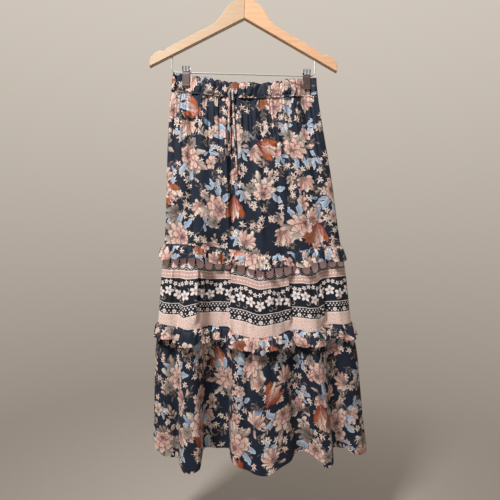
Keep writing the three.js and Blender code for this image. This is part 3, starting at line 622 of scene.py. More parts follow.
# The wrong side shows the same print through the dye, greyer.
wrong_side_tone = (0.11, 0.11, 0.125, 1)
floral_fading = 0.62
border_fading = 0.5
floral_cloth = cloth_finish("floral_cloth", floral)
floral_reverse = cloth_finish("floral_cloth_reverse", floral, floral_fading)
border_cloth = cloth_finish("border_cloth", border)
border_reverse = cloth_finish("border_cloth_reverse", border, border_fading)


# The ends of the drawstring: two narrow tubes of the printed cloth, turned out and pressed, that
# leave the waistband through a small opening and end in knots.
tie_diameter = 0.0048
tie_sides = 12
tie_flatness = 0.86
tie_step = 0.002
tie_drifts = {"left": (0.33, 0.12), "right": (0.54, 0.12)}
knot_wire = 0.00155
knot_steps = 96
knot_sides = 8
knot_drift = (0.1, 0.3)
steps_between_points = 128
sharp_angle = 55
# Each end's route, in millimetres from the opening in the waistband down to its knot.
tie_routes = {
    "left": (
        (-38, -13.2, -294),
        (-38, -16.4, -294.6),
        (-38, -18.4, -297.4),
        (-38.1, -18.6, -302),
        (-38.3, -17.6, -310),
        (-38.7, -17, -320),
        (-39.3, -17.2, -333),
        (-39.8, -17.7, -346),
        (-40.1, -18, -360),
        (-40.1, -18.1, -375),
        (-39.8, -18.2, -390),
        (-39.3, -18.3, -404),
        (-38.9, -18.5, -418),
        (-38.7, -18.7, -426),
    ),
    "right": (
        (-31.5, -13.7, -293),
        (-31.4, -16.8, -293.6),
        (-31.3, -18.8, -296.4),
        (-31.1, -19, -301),
        (-30.8, -17.4, -310),
        (-30.4, -16.6, -320),
        (-29.8, -16.4, -334),
        (-29, -17.2, -348),
        (-28.2, -18.6, -362),
        (-27.3, -19.8, -376),
        (-26.4, -20.4, -390),
        (-25.5, -21, -404),
        (-24.6, -21.8, -418),
        (-23.8, -22.6, -432),
        (-23, -23.3, -446),
        (-22.4, -23.8, -460),
        (-21.9, -24.1, -474),
        (-21.5, -24.3, -488),
        (-21.3, -24.4, -496),
    ),
}


def rounded_line(points, shares):
    """Places on a smooth curve through points, at shares of its length from 0 to 1."""
    points = np.asarray(points, float)
    ends = np.vstack((2 * points[0] - points[1], points, 2 * points[-1] - points[-2]))
    fine = []
    steps = np.linspace(0, 1, steps_between_points, endpoint=False)[:, None]
    for p0, p1, p2, p3 in zip(ends[:-3], ends[1:-2], ends[2:-1], ends[3:]):
        gap0, gap1, gap2 = (np.linalg.norm(b - a) ** 0.5 for a, b in ((p0, p1), (p1, p2), (p2, p3)))
        leave = gap1 * ((p1 - p0) / gap0 - (p2 - p0) / (gap0 + gap1) + (p2 - p1) / gap1)
        arrive = gap1 * ((p2 - p1) / gap1 - (p3 - p1) / (gap1 + gap2) + (p3 - p2) / gap2)
        square = 3 * (p2 - p1) - 2 * leave - arrive
        cube = 2 * (p1 - p2) + leave + arrive
        fine.append(p1 + steps * (leave + steps * (square + steps * cube)))
    fine = np.vstack((*fine, points[-1:]))
    lengths = np.concatenate(([0], np.cumsum(np.linalg.norm(np.diff(fine, axis=0), axis=1))))
    at = np.asarray(shares, float) * lengths[-1]
    return np.stack([np.interp(at, lengths, fine[:, k]) for k in range(3)], axis=-1)


def new_piece(name, points, faces, placed, finishes, kinds=None):
    """A mesh object. placed holds a place on the cut cloth for each corner of each face."""
    mesh = bpy.data.meshes.new(name)
    mesh.from_pydata(points.tolist(), [], faces.tolist())
    laid = mesh.uv_layers.new(name="cut")
    laid.data.foreach_set("uv", np.asarray(placed, np.float32).ravel())
    for finish in finishes:
        mesh.materials.append(finish)
    if kinds is not None:
        mesh.polygons.foreach_set("material_index", np.asarray(kinds, np.int32))
    mesh.shade_smooth()
    mesh.set_sharp_from_angle(angle=math.radians(sharp_angle))
    mesh.update()
    piece = bpy.data.objects.new(name, mesh)
    bpy.context.collection.objects.link(piece)
    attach(piece, "root")
    return piece


def tube(name, route, width, flatness, sides, finish, drift, closed=False):
    """A round or flattened tube along a route of many points. It has a face over each end, or where
    closed is true it runs back into its own start."""
    ahead = np.gradient(route, axis=0)
    if closed:
        ahead = np.roll(route, -1, axis=0) - np.roll(route, 1, axis=0)
    ahead /= np.linalg.norm(ahead, axis=1)[:, None]
    sideways = np.cross(ahead, (0.0, 1.0, 0.013))
    sideways /= np.linalg.norm(sideways, axis=1)[:, None]
    outwards = np.cross(sideways, ahead)
    turns = np.linspace(0, math.tau, sides, endpoint=False)
    rim = width / 2 * np.cos(turns)[None, :, None] * sideways[:, None, :]
    rim = rim + width / 2 * flatness * np.sin(turns)[None, :, None] * outwards[:, None, :]
    points = (route[:, None, :] + rim).reshape(-1, 3)
    count = len(route)
    rows = np.arange(count if closed else count - 1)
    first = np.repeat(rows, sides) * sides
    step = np.tile(np.arange(sides), len(rows))
    after = (step + 1) % sides
    following = (first + sides) % (count * sides)
    faces = np.stack((first + step, first + after, following + after, following + step), axis=1)
    lengths = np.concatenate(([0], np.cumsum(np.linalg.norm(np.diff(route, axis=0), axis=1))))
    lengths = np.append(lengths, lengths[-1])
    round_by = step / sides * math.pi * width
    round_to = (step + 1) / sides * math.pi * width
    down = lengths[np.repeat(rows, sides)]
    down_to = lengths[np.repeat(rows, sides) + 1]
    placed = np.stack(
        [
            np.stack((round_by, down), axis=1),
            np.stack((round_to, down), axis=1),
            np.stack((round_to, down_to), axis=1),
            np.stack((round_by, down_to), axis=1),
        ],
        axis=1,
    ) + np.asarray(drift)
    piece = new_piece(name, points, faces, placed, [finish])
    if not closed:
        made = bmesh.new()
        made.from_mesh(piece.data)
        bmesh.ops.holes_fill(made, edges=[e for e in made.edges if e.is_boundary])
        bmesh.ops.recalc_face_normals(made, faces=made.faces)
        made.to_mesh(piece.data)
        made.free()
        piece.data.shade_smooth()
    return piece


for name, route in tie_routes.items():
    route = np.array(route) / 1000
    whole = rounded_line(route, np.linspace(0, 1, 200))
    length = np.linalg.norm(np.diff(whole, axis=0), axis=1).sum()
    line = rounded_line(route, np.linspace(0, 1, round(length / tie_step)))
    shape = (line, tie_diameter, tie_flatness, tie_sides)
    tie = tube(f"tie_{name}", *shape, floral_cloth, tie_drifts[name])
    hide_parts(f"drawstring_{name}")
    # The knot: a trefoil of the same cloth that fills the box of its solid.
    lowest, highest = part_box(f"drawstring_{name}_knot")
    middle = np.array(lowest + highest) / 2
    half = np.array(highest - lowest) / 2 - knot_wire
    turns = np.linspace(0, math.tau, knot_steps, endpoint=False)
    loops = np.stack(
        (
            (np.sin(turns) + 2 * np.sin(2 * turns)) / 3,
            -np.sin(3 * turns),
            (np.cos(turns) - 2 * np.cos(2 * turns)) / 3,
        ),
        axis=1,
    )
    shape = (middle + loops * half, 2 * knot_wire, 1, knot_sides)
    knot = tube(f"tie_{name}_knot", *shape, floral_cloth, knot_drift, closed=True)
    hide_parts(f"drawstring_{name}_knot")


# Running stitches in dark blue thread, 2.6 mm apart, that close the waistband's casing, gather the
# frills and turn up the hem. Each of those pieces lays them along its own rows.
thread_dark = (0.012, 0.017, 0.028, 1)
thread_light = (0.035, 0.045, 0.065, 1)
stitch_sizes = {"Pitch": 0.0026, "Stitch Length": 0.0019, "Thickness": 0.0004}

thread, shader, dye = new_finish("thread")
spot = dye.node("ShaderNodeTexCoord").outputs["Object"]
fibres = dye.node("ShaderNodeTexNoise", {"Vector": spot})
fibres.inputs["Scale"].default_value = 1400
dye.join(shader.inputs["Base Color"], dye.blend(fibres.outputs["Fac"], thread_dark, thread_light))
dye.join(shader.inputs["Roughness"], dye.spread(fibres.outputs["Fac"], 0.3, 0.7, 0.5, 0.7))

stitching = bpy.data.node_groups.new("row_of_stitches", "GeometryNodeTree")
stitching.interface.new_socket("Lines", in_out="INPUT", socket_type="NodeSocketGeometry")
for label in stitch_sizes:
    stitching.interface.new_socket(label, in_out="INPUT", socket_type="NodeSocketFloat")
stitching.interface.new_socket("Stitches", in_out="OUTPUT", socket_type="NodeSocketGeometry")
dye = Dye(stitching)
given = stitching.nodes.new("NodeGroupInput").outputs
line = dye.node("GeometryNodeMeshToCurve", {"Mesh": given["Lines"]}).outputs[0]
spacing = {"Curve": line, "Length": given["Pitch"]}
spaced = dye.node("GeometryNodeResampleCurve", spacing, mode="LENGTH")
sizes = {0: given["Stitch Length"], 1: given["Thickness"], 2: given["Thickness"]}
stitch_size = dye.node("ShaderNodeCombineXYZ", sizes).outputs[0]
stitch = dye.node("GeometryNodeMeshCube", {"Size": stitch_size}).outputs["Mesh"]
ahead = dye.node("GeometryNodeInputTangent").outputs[0]
turned = dye.node("FunctionNodeAlignRotationToVector", {"Vector": ahead}, axis="X").outputs[0]
laid = {"Points": spaced.outputs[0], "Instance": stitch, "Rotation": turned}
placed = dye.node("GeometryNodeInstanceOnPoints", laid).outputs[0]
real = dye.node("GeometryNodeRealizeInstances", {0: placed}).outputs[0]
finished = dye.node("GeometryNodeSetMaterial", {"Geometry": real, "Material": thread}).outputs[0]
dye.join(stitching.nodes.new("NodeGroupOutput").inputs[0], finished)


def sew_rows(name, rows):
    """One mesh of stitches along rows of points that lie on the cloth."""
    points = np.vstack(rows)
    starts = np.cumsum([0] + [len(row) for row in rows[:-1]])
    edges = [(s + k, s + k + 1) for s, row in zip(starts, rows) for k in range(len(row) - 1)]
    mesh = bpy.data.meshes.new(name)
    mesh.from_pydata(points.tolist(), edges, [])
    piece = bpy.data.objects.new(name, mesh)
    bpy.context.collection.objects.link(piece)
    sewing = piece.modifiers.new("stitches", "NODES")
    sewing.node_group = stitching
    for item in stitching.interface.items_tree:
        if item.in_out == "INPUT" and item.name in stitch_sizes:
            sewing[item.identifier] = stitch_sizes[item.name]
    shown = piece.evaluated_get(bpy.context.evaluated_depsgraph_get())
    sewn = bpy.data.meshes.new_from_object(shown)
    piece.modifiers.clear()
    piece.data = sewn
    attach(piece, "root")


# The waistband: a casing of the printed cloth gathered on 35 mm elastic, clipped near both sides
# so that its middle hangs. Its shape, and that of the tiers below, is worked out here once.
band_seam, upper_seam, lower_seam, hem = range(1, 5)
# Heights of the waist, the three seams and the hem at the two side seams, and how far each sags.
edge_left = np.array((-0.2465, -0.288, -0.655, -0.840, -1.1305))
edge_right = np.array((-0.2565, -0.297, -0.660, -0.841, -1.149))
edge_sag = np.array((0.022, 0.017, 0, 0, 0.022))
hang_middle = 0.51
hang_half_span = 0.42
hang_fades = (0.2, 1.4)
clip_places = (-0.1423, 0.1444)
clip_squeeze_depth = 0.7
clip_squeeze_reach = 0.022
clip_squeeze_fades = (0.85, 1.6)
# The skirt at ten heights below the hook: its left and right edges, and how far its front and back
# stand out.
outline_heights = np.array((240, 294, 394, 499, 640, 709, 838, 905, 1058, 1150)) / 1000
outline = {
    "left": np.array((-172, -179.5, -185.5, -188.5, -192, -199.5, -208.5, -215.5, -218.5, -221)) / 1000,
    "right": np.array((167, 169.5, 185.5, 203.5, 221.5, 235.5, 248.5, 264, 276.5, 288)) / 1000,
    "front": np.array((10, 12, 17, 21, 25, 28, 32, 34, 36, 38)) / 1000,
    "back": np.array((10, 12, 16, 20, 23, 26, 29, 30, 32, 34)) / 1000,
}
outline_softening = (-0.03, -0.015, 0, 0.015, 0.03)
# The folded line of the hem, in millimetres: its place from left to right, how far out, its height.
hem_lines = {
    "front": (
        (-221, 0, -1130.5),
        (-212, 9, -1137),
        (-186, 20, -1149),
        (-161, 11, -1156),
        (-151, 34, -1161),
        (-136, 56, -1168),
        (-118, 58, -1166),
        (-104, 50, -1162),
        (-102, 24, -1152),
        (-99, -6, -1142),
        (-72, -14, -1146),
        (-42, -8, -1143),
        (-37, 18, -1146),
        (-31, 39, -1150),
        (-16, 48, -1158),
        (3, 46, -1165),
        (23, 57, -1169),
        (47, 58, -1171),
        (80, 48, -1158),
        (104, 34, -1151),
        (117, 13, -1145),
        (140, 6, -1143),
        (168, 34, -1151),
        (181, 46, -1160),
        (198, 41, -1156),
        (205, 18, -1149),
        (209, -5, -1141),
        (234, -8, -1140),
        (251, 22, -1141),
        (270, 17, -1146),
        (288, 0, -1149),
    ),
    "back": (
        (-221, 0, -1130.5),
        (-208, 22, -1142),
        (-178, 44, -1156),
        (-150, 40, -1156),
        (-138, 14, -1146),
        (-112, 9, -1145),
        (-96, 34, -1154),
        (-66, 54, -1166),
        (-34, 50, -1165),
        (-18, 26, -1156),
        (10, 20, -1155),
        (30, 40, -1162),
        (62, 58, -1170),
        (98, 50, -1164),
        (112, 22, -1152),
        (134, 14, -1148),
        (152, 36, -1156),
        (186, 54, -1162),
        (214, 40, -1154),
        (232, 16, -1146),
        (258, 26, -1148),
        (288, 0, -1149),
    ),
}
# How far each gathered seam dips, in millimetres, at places round the panel from 0 to 1.
seam_dips = {
    (upper_seam, "front"): (
        (0, 0.12, 0.235, 0.33, 0.38, 0.46, 0.55, 0.615, 0.71, 0.83, 0.92, 1),
        (0, -1, 5, 10, 14, 17, 23, 24.5, 18, 8.5, 4, 0),
    ),
    (upper_seam, "back"): (
        (0, 0.1, 0.22, 0.35, 0.45, 0.55, 0.68, 0.8, 0.9, 1),
        (0, 2, 9, 14, 20, 23, 17, 12, 5, 0),
    ),
    (lower_seam, "front"): (
        (0, 0.13, 0.2, 0.285, 0.38, 0.425, 0.545, 0.62, 0.71, 0.8, 0.84, 0.88, 0.95, 1),
        (0, 2, 3, 13, 17, 26, 25, 28, 22, 16.5, 17, 11, 7, 0),
    ),
    (lower_seam, "back"): (
        (0, 0.1, 0.2, 0.3, 0.42, 0.55, 0.7, 0.82, 0.92, 1),
        (0, 4, 12, 16, 22, 27, 19, 15, 8, 0),
    ),
}
seam_softening = (-0.01, 0, 0.01)
# Each long fold: place round the panel, its width in the same measure, its depth, and the heights
# between which it shows, in millimetres.
long_folds = {
    "front": (
        (0.05, 0.018, -3, -300, -520),
        (0.15, 0.018, -8, -300, -600),
        (0.22, 0.03, 4, -310, -640),
        (0.4, 0.016, -7, -320, -650),
        (0.45, 0.02, 3, -320, -640),
        (0.6, 0.02, -5, -300, -500),
        (0.74, 0.02, -5, -300, -560),
        (0.9, 0.022, -6, -310, -620),
        (0.14, 0.035, 5, -600, -900),
        (0.31, 0.06, -5, -600, -900),
        (0.52, 0.1, 5, -600, -900),
    ),
    "back": (
        (0.12, 0.022, -6, -300, -600),
        (0.27, 0.018, -5, -300, -520),
        (0.38, 0.03, 4, -320, -640),
        (0.52, 0.018, -6, -310, -640),
        (0.7, 0.022, -5, -300, -560),
        (0.86, 0.02, -6, -300, -620),
        (0.32, 0.06, -5, -600, -900),
        (0.63, 0.08, 4, -600, -900),
    ),
}
# Finer creases, listed like the long folds: those from the waistband's gathers first, then
# those that the frills' gathers throw into the tiers below.
creases = {
    "front": (
        (0.035, 0.006, -1.6, -290, -420),
        (0.085, 0.009, 2.2, -290, -470),
        (0.112, 0.006, -2.4, -290, -400),
        (0.19, 0.006, 1.8, -290, -440),
        (0.265, 0.008, -2.2, -290, -460),
        (0.292, 0.006, 1.6, -290, -420),
        (0.335, 0.007, -2.6, -290, -430),
        (0.372, 0.007, 2.4, -300, -620),
        (0.43, 0.006, -1.8, -310, -560),
        (0.49, 0.008, -2.4, -290, -400),
        (0.515, 0.006, 1.6, -290, -440),
        (0.552, 0.007, -2, -290, -410),
        (0.64, 0.008, 2.2, -290, -440),
        (0.675, 0.006, -1.8, -290, -400),
        (0.71, 0.007, 1.6, -290, -470),
        (0.785, 0.008, -2.4, -290, -430),
        (0.83, 0.006, 1.8, -290, -410),
        (0.945, 0.008, -2, -290, -480),
        (0.17, 0.012, -2.2, -440, -660),
        (0.29, 0.014, 2, -430, -640),
        (0.56, 0.016, 2.4, -420, -650),
        (0.67, 0.012, -2.4, -460, -660),
        (0.82, 0.014, -2.2, -450, -640),
        (0.06, 0.008, 2, -680, -830),
        (0.1, 0.007, -2.4, -690, -840),
        (0.255, 0.01, -2, -690, -820),
        (0.34, 0.008, 1.8, -700, -840),
        (0.455, 0.01, -2, -700, -800),
        (0.5, 0.008, 1.8, -720, -850),
        (0.59, 0.01, 2, -700, -850),
        (0.635, 0.008, -2.2, -700, -800),
        (0.75, 0.01, 2, -700, -840),
        (0.8, 0.008, -2.2, -690, -800),
        (0.94, 0.01, 2, -690, -840),
    ),
    "back": (
        (0.05, 0.008, -2, -290, -440),
        (0.1, 0.006, 1.8, -290, -410),
        (0.17, 0.008, -2.4, -290, -470),
        (0.22, 0.006, 2, -290, -430),
        (0.31, 0.007, -2.2, -290, -400),
        (0.35, 0.008, 1.8, -290, -460),
        (0.44, 0.006, -2, -290, -420),
        (0.48, 0.008, 2.2, -290, -450),
        (0.57, 0.007, -2.4, -290, -430),
        (0.63, 0.006, 1.8, -290, -410),
        (0.75, 0.008, -2, -290, -450),
        (0.8, 0.006, 2, -290, -420),
        (0.92, 0.008, -2.2, -290, -470),
        (0.2, 0.014, 2.2, -440, -650),
        (0.45, 0.012, -2.4, -430, -660),
        (0.6, 0.015, 2.2, -450, -640),
        (0.78, 0.012, -2, -440, -650),
        (0.08, 0.01, 2, -690, -830),
        (0.2, 0.008, -2.2, -700, -840),
        (0.38, 0.01, 2, -690, -840),
        (0.48, 0.008, -2, -700, -820),
        (0.57, 0.01, -2.2, -700, -850),
        (0.76, 0.01, 2, -690, -830),
        (0.87, 0.008, -2.2, -690, -840),
    ),
}
crease_strength = 1.7
# Places where the middle tier laps over itself: place, how far the two sides push past each
# other, how far they part (the right one in front where positive), and the heights between.
laps = {
    "front": (
        (0.2, 5.2, -3.2, -690, -836),
        (0.398, 7.2, 4.6, -676, -842),
        (0.683, 5.2, -3, -700, -836),
        (0.868, 6, -3.6, -745, -836),
    ),
    "back": (
        (0.27, 5.4, 3.4, -700, -836),
        (0.52, 6.8, -4.2, -684, -840),
        (0.77, 5.2, 3.2, -720, -836),
    ),
}
side_seam_half_gap = 0.0001
lap_width = 0.0115
lap_fade = 0.03
fold_fade = 0.06
hem_folds_start = -0.52
hem_folds_growth = 1.25
hem_level = -1.14
facings = {"front": -1, "back": 1}
hem_curves = {side: np.array(line) / 1000 for side, line in hem_lines.items()}


def ease(value, low, high):
    share = np.clip((value - low) / (high - low), 0, 1)
    return share * share * (3 - 2 * share)


def mix(first, second, share):
    return first + (second - first) * share


def outline_at(z, column):
    spots = [np.interp(-(z + shift), outline_heights, outline[column]) for shift in outline_softening]
    return sum(spots) / len(spots)


def hem_at(side, across):
    shares = np.linspace(0, 1, 1201)
    line = rounded_line(hem_curves[side], shares)
    return np.stack([np.interp(across, shares, line[:, k]) for k in range(3)], axis=-1)


def bulge(across):
    return np.maximum(0, 1 - np.abs(2 * across - 1) ** 4) ** 0.25


def clip_squeeze(x):
    return np.minimum(1, sum(np.exp(-(((x - clip) / clip_squeeze_reach) ** 2)) for clip in clip_places))


def shown_between(height, top, bottom, fade):
    """1 between two heights in millimetres, easing to 0 at both over a fade in metres."""
    begun = ease(-height, -top / 1000, -top / 1000 + fade)
    return begun * (1 - ease(-height, -bottom / 1000 - fade, -bottom / 1000))


def away_from_sides(across, reach):
    """1 over the panel, easing to 0 at its two side seams."""
    return ease(across, 0, reach) * (1 - ease(across, 1 - reach, 1))


def hanging_cloth(side, across, down):
    """Points of the cloth's outer face: across from 0 to 1 between the side seams, and down from 0
    at the waist to 1, 2, 3 and 4 at the seams and the hem."""
    edges = np.arange(hem + 1)
    height = mix(np.interp(down, edges, edge_left), np.interp(down, edges, edge_right), across)
    sag = np.interp(down, edges, edge_sag)
    hung = np.maximum(0, 1 - ((across - hang_middle) / hang_half_span) ** 2)
    draped = 4 * across * (1 - across)
    z = height - sag * mix(draped, hung, 1 - ease(down, *hang_fades))
    for seam in (upper_seam, lower_seam):
        places, dips = seam_dips[seam, side]
        dip = sum(np.interp(across + shift, places, dips) for shift in seam_softening)
        z = z - dip / len(seam_softening) / 1000 * np.maximum(0, 1 - np.abs(down - seam))
    x = mix(outline_at(height, "left"), outline_at(height, "right"), across)
    squeeze = clip_squeeze_depth * clip_squeeze(x) * (1 - ease(down, *clip_squeeze_fades))
    out = outline_at(height, side) * bulge(across) * (1 - squeeze)
    sharper = [(at, width, crease_strength * depth, *span) for at, width, depth, *span in creases[side]]
    for at, width, depth, top, bottom in (*long_folds[side], *sharper):
        shown = shown_between(height, top, bottom, fold_fade)
        out = out + depth / 1000 * np.exp(-(((across - at) / width) ** 2)) * shown
    for at, push, part, top, bottom in laps[side]:
        shown = shown_between(height, top, bottom, lap_fade)
        near = (across - at) / lap_width
        before, after = np.exp(-((near + 1) ** 2)), np.exp(-((near - 1) ** 2))
        x = x + push / 1000 * shown * (before - after)
        out = out + part / 1000 * shown * (after - before)
    hem_line = hem_at(side, across)
    plain_x = mix(outline_at(edge_left[hem], "left"), outline_at(edge_right[hem], "right"), across)
    plain_out = outline_at(edge_left[hem], side) * bulge(across)
    plain_z = mix(edge_left[hem], edge_right[hem], across) - edge_sag[hem] * draped
    fallen = np.clip((hem_folds_start - height) / (hem_folds_start - hem_level), 0, 1)
    fold = fallen**hem_folds_growth
    return np.stack(
        (
            x + fold * (hem_line[..., 0] - plain_x),
            facings[side] * (out + fold * (hem_line[..., 1] - plain_out)),
            z + fold * (hem_line[..., 2] - plain_z),
        ),
        axis=-1,
    )


def cloth_outwards(side, across, down):
    """The outward direction of the cloth, straight out sideways at the side seams."""
    reach = 0.004
    left = hanging_cloth(side, np.maximum(0, across - reach), down)
    right = hanging_cloth(side, np.minimum(1, across + reach), down)
    upper = hanging_cloth(side, across, np.maximum(0, down - reach))
    lower = hanging_cloth(side, across, np.minimum(hem, down + reach))
    normal = -facings[side] * np.cross(lower - upper, right - left)
    normal /= np.maximum(1e-12, np.linalg.norm(normal, axis=-1))[..., None]
    normal[across <= 0] = (-1, 0, 0)
    normal[across >= 1] = (1, 0, 0)
    return normal


def columns_across(count):
    """Even places round a panel, with more of them close to its side seams."""
    even = np.linspace(0, 1, count + 1)
    close = even[1] * np.array((0.04, 0.12, 0.25, 0.42, 0.62, 0.8))
    return np.sort(np.concatenate((even, close, 1 - close)))


def travelled(points, axis):
    steps = np.linalg.norm(np.diff(points, axis=axis), axis=-1)
    return np.insert(np.cumsum(steps, axis=axis), 0, 0, axis=axis)


def sew_panel(name, outer, inner, side, cut_width, drift, finishes, drop=0):
    """A closed thin wall of cloth from its outer and inner grids of points, whose rows run down."""
    facing = facings[side]
    for grid in (outer, inner):
        grid[:, (0, -1), 1] = facing * side_seam_half_gap
    rows, columns = outer.shape[:2]
    down = travelled(outer, 0) - drop
    round_by = travelled(outer, 1)
    round_by = (round_by / round_by[:, -1:]).mean(axis=0)
    round_by = np.broadcast_to(cut_width * (round_by - 0.5), down.shape)
    laid = np.stack((round_by + drift[0], down + drift[1]), axis=-1).reshape(-1, 2)
    laid = np.vstack((laid, laid))
    out, back = np.arange(2 * rows * columns).reshape(2, rows, columns)

    def squares(grid, flip):
        corners = (grid[:-1, :-1], grid[1:, :-1], grid[1:, 1:], grid[:-1, 1:])
        corners = corners[::-1] if flip else corners
        return np.stack([corner.ravel() for corner in corners], axis=1)

    def strip(first, second, flip):
        corners = (first[:-1], first[1:], second[1:], second[:-1])
        corners = corners[::-1] if flip else corners
        return np.stack(corners, axis=1)

    turned = facing > 0
    groups = [
        squares(out, turned),
        squares(back, not turned),
        strip(out[0], back[0], turned),
        strip(back[-1], out[-1], turned),
        strip(back[:, 0], out[:, 0], turned),
        strip(out[:, -1], back[:, -1], turned),
    ]
    faces = np.vstack(groups)
    kinds = np.zeros(len(faces), int)
    kinds[len(groups[0]) : len(groups[0]) + len(groups[1])] = len(finishes) - 1
    points = np.vstack((outer.reshape(-1, 3), inner.reshape(-1, 3)))
    return new_piece(name, points, faces, laid[faces.ravel()], finishes, kinds)


band_wall = 0.0022
band_pleats = 15
band_rise = 0.0078
band_sway = 0.0021
band_cut_width = 0.51
band_columns = 380
band_rows = np.linspace(0, 1, 33)
band_stitched_rows = (5, 29)
band_profile_places = (0, 0.07, 0.2, 0.5, 0.8, 0.92, 1)
band_profile_rises = (0.75, 0.62, 0.95, 1, 0.9, 0.55, 0.7)
band_profile_sways = (0.4, 0.5, 1, 1, 1, 0.6, 0.5)
band_edge_bumps = 0.0042
band_drifts = {"front": (0.19, 0.43), "back": (1.7, 0.3)}
# Every row of stitches stops a few columns short of the side seams.
inside_side_seams = slice(8, -8)


def waistband_pleats(across, down):
    """The casing's uneven pleats, from 0 in the valleys between them to 1 on their tops, and how
    far they lean sideways over those valleys."""
    place = band_pleats * across + 0.34 * np.sin(math.tau * 2.3 * across + 0.7)
    place = place + 0.16 * np.sin(math.tau * 5.9 * across) + 0.08 * np.sin(4 * down + 9 * across)
    broad = np.abs(np.sin(math.pi * place)) ** 0.6
    small = np.abs(np.sin(math.pi * (2.43 * place + 0.35 * np.sin(5 * down + 2)))) ** 0.7
    pleat = broad * (0.7 + 0.3 * small) * (0.82 + 0.18 * np.sin(math.tau * 3.7 * across + 2))
    return pleat, -np.sin(math.tau * place)


for side in facings:
    across, down = np.meshgrid(columns_across(band_columns), band_rows)
    normal = cloth_outwards(side, across, down)
    base = hanging_cloth(side, across, down)
    pleat, lean = waistband_pleats(across, down)
    free = 1 - 0.9 * clip_squeeze(base[..., 0])
    pleat = pleat * free
    ends = away_from_sides(across, 0.012)
    rise = band_rise * np.interp(down, band_profile_places, band_profile_rises) * pleat * ends
    bumps = band_edge_bumps * (pleat - 0.6) * ends * (1 - ease(down, 0, 0.2))
    base[..., 2] += bumps
    outer = base + normal * rise[..., None]
    sway = band_sway * np.interp(down, band_profile_places, band_profile_sways)
    outer[..., 0] += sway * lean * free * ends
    inner = base - normal * band_wall
    cut = (band_cut_width, band_drifts[side], [floral_cloth])
    band = sew_panel(f"waistband_cloth_{side}", outer, inner, side, *cut)
    sewn_rows = [outer[row, inside_side_seams] for row in band_stitched_rows]
    sew_rows(f"waistband_stitches_{side}", sewn_rows)
    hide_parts(f"waistband_{side}")
    width = float(travelled(outer, 1)[len(band_rows) // 2, -1])


# The three tiers: straight lengths of cloth, each gathered to the edge of the one above, so that
# the skirt widens. The middle one is cut from the border print.
# Cut is the width of a tier's cloth in metres and drift the place on the print that it came from. Its
# gathers are their number, their rise in millimetres, how much of that they have at the seam, and the
# share of the tier by which they have died out.
tiers = {
    "top": {
        "from": band_seam,
        "columns": 320,
        "rows": 84,
        "cut": 0.46,
        "drift": {"front": (0, 0), "back": (1.13, 0.27)},
        "gathers": (11, 2.6, 1, 0.6),
    },
    "middle": {
        "from": upper_seam,
        "columns": 360,
        "rows": 58,
        "cut": 0.54,
        "drift": {"front": (0, 0), "back": (1.13, 0)},
        "gathers": (11, 2.2, 0, 1),
    },
    "bottom": {
        "from": lower_seam,
        "columns": 380,
        "rows": 88,
        "cut": 0.72,
        "drift": {"front": (0.43, 0.52), "back": (1.56, 0.79)},
        "gathers": (22, 3.4, 0, 0.6),
    },
}
row_crowding = 1.1
hem_stitches_up = 4
# How far the border's bands lie below their plain level, in millimetres: place round the panel, at
# the cream line over the garland, and at the one over the speckled band. The cloth hangs lower
# between its folds.
band_levels = {
    "front": (
        (0, 3.5, -3),
        (0.03, 3, 3),
        (0.1, 2, 3),
        (0.14, 2, 7.5),
        (0.185, -1, -2),
        (0.205, -2.4, -9),
        (0.28, 2, -6),
        (0.33, -2, -10),
        (0.39, -6, -13.5),
        (0.406, 1, -1.5),
        (0.47, 0, -2),
        (0.53, 4.7, 2),
        (0.57, 1.8, 0),
        (0.6, 0.8, -2),
        (0.675, 2.9, -3),
        (0.69, -0.5, -8.7),
        (0.755, 0, -5),
        (0.8, 5, 0),
        (0.83, 4.7, 4.7),
        (0.86, 0, 0),
        (0.88, -1.5, -6),
        (0.95, -3.4, -7),
        (1, -3.5, -7),
    ),
    "back": (
        (0, 2, 0),
        (0.1, 3, 4),
        (0.2, -1, -2),
        (0.265, -3, -6),
        (0.28, 2, -1),
        (0.4, 4, 3),
        (0.51, 5, 4),
        (0.53, -1, -6),
        (0.65, -3, -8),
        (0.765, 2, -3),
        (0.78, -2, -7),
        (0.9, 3, 1),
        (1, 0, -3),
    ),
}
band_levels_at = (0.053, 0.156)
band_levels_reach = (-0.3, 1.2)
tier_wall = 0.0013
seam_gap = 0.0003


def tier_length(tier):
    return edge_left[tier["from"]] - edge_left[tier["from"] + 1]


def tier_gathers(gathers, across, share):
    """Even gathers round a tier. Those of the top one start at its seam, the others below it."""
    count, rise, start, reach = gathers
    ends = away_from_sides(across, 0.03)
    grown = mix(start, 1, ease(share, 0, 0.12))
    faded = 1 - ease(share, 0.12, reach)
    return 0.5 * rise / 1000 * grown * faded * ends * np.sin(math.tau * count * across)


def fine_gathers(across, drop, start):
    """Small uneven gathers that leave a seam and die out below it."""
    fan = across * 46 + 0.55 * np.sin(across * 21) + 0.3 * np.sin(across * 57 + 1)
    wave = np.sin(math.tau * fan) * (0.65 + 0.35 * np.sin(across * 83 + 2))
    reach = 0.05 + 0.035 * np.sin(across * 37 + 0.6)
    grown = mix(start, 1, ease(drop, 0, 0.008))
    ends = away_from_sides(across, 0.02)
    return 0.0012 * wave * grown * ends * np.exp(-((drop / reach) ** 2))


def tier_face(side, tier, across, share):
    """The outer face of a tier and its outward directions."""
    down = tier["from"] + share
    normal = cloth_outwards(side, across, down)
    base = hanging_cloth(side, across, down)
    start = 1 if tier["from"] == band_seam else 0
    rise = tier_gathers(tier["gathers"], across, share)
    rise = rise + fine_gathers(across, share * tier_length(tier), start)
    return base + normal * rise[..., None], normal


def band_drop(side, across, down):
    """How far the border print hangs below its plain level."""
    places, upper, lower = np.array(band_levels[side]).T
    upper, lower = (np.interp(across, places, level) / 1000 for level in (upper, lower))
    first, last = band_levels_at
    return mix(upper, lower, np.clip((down - first) / (last - first), *band_levels_reach))


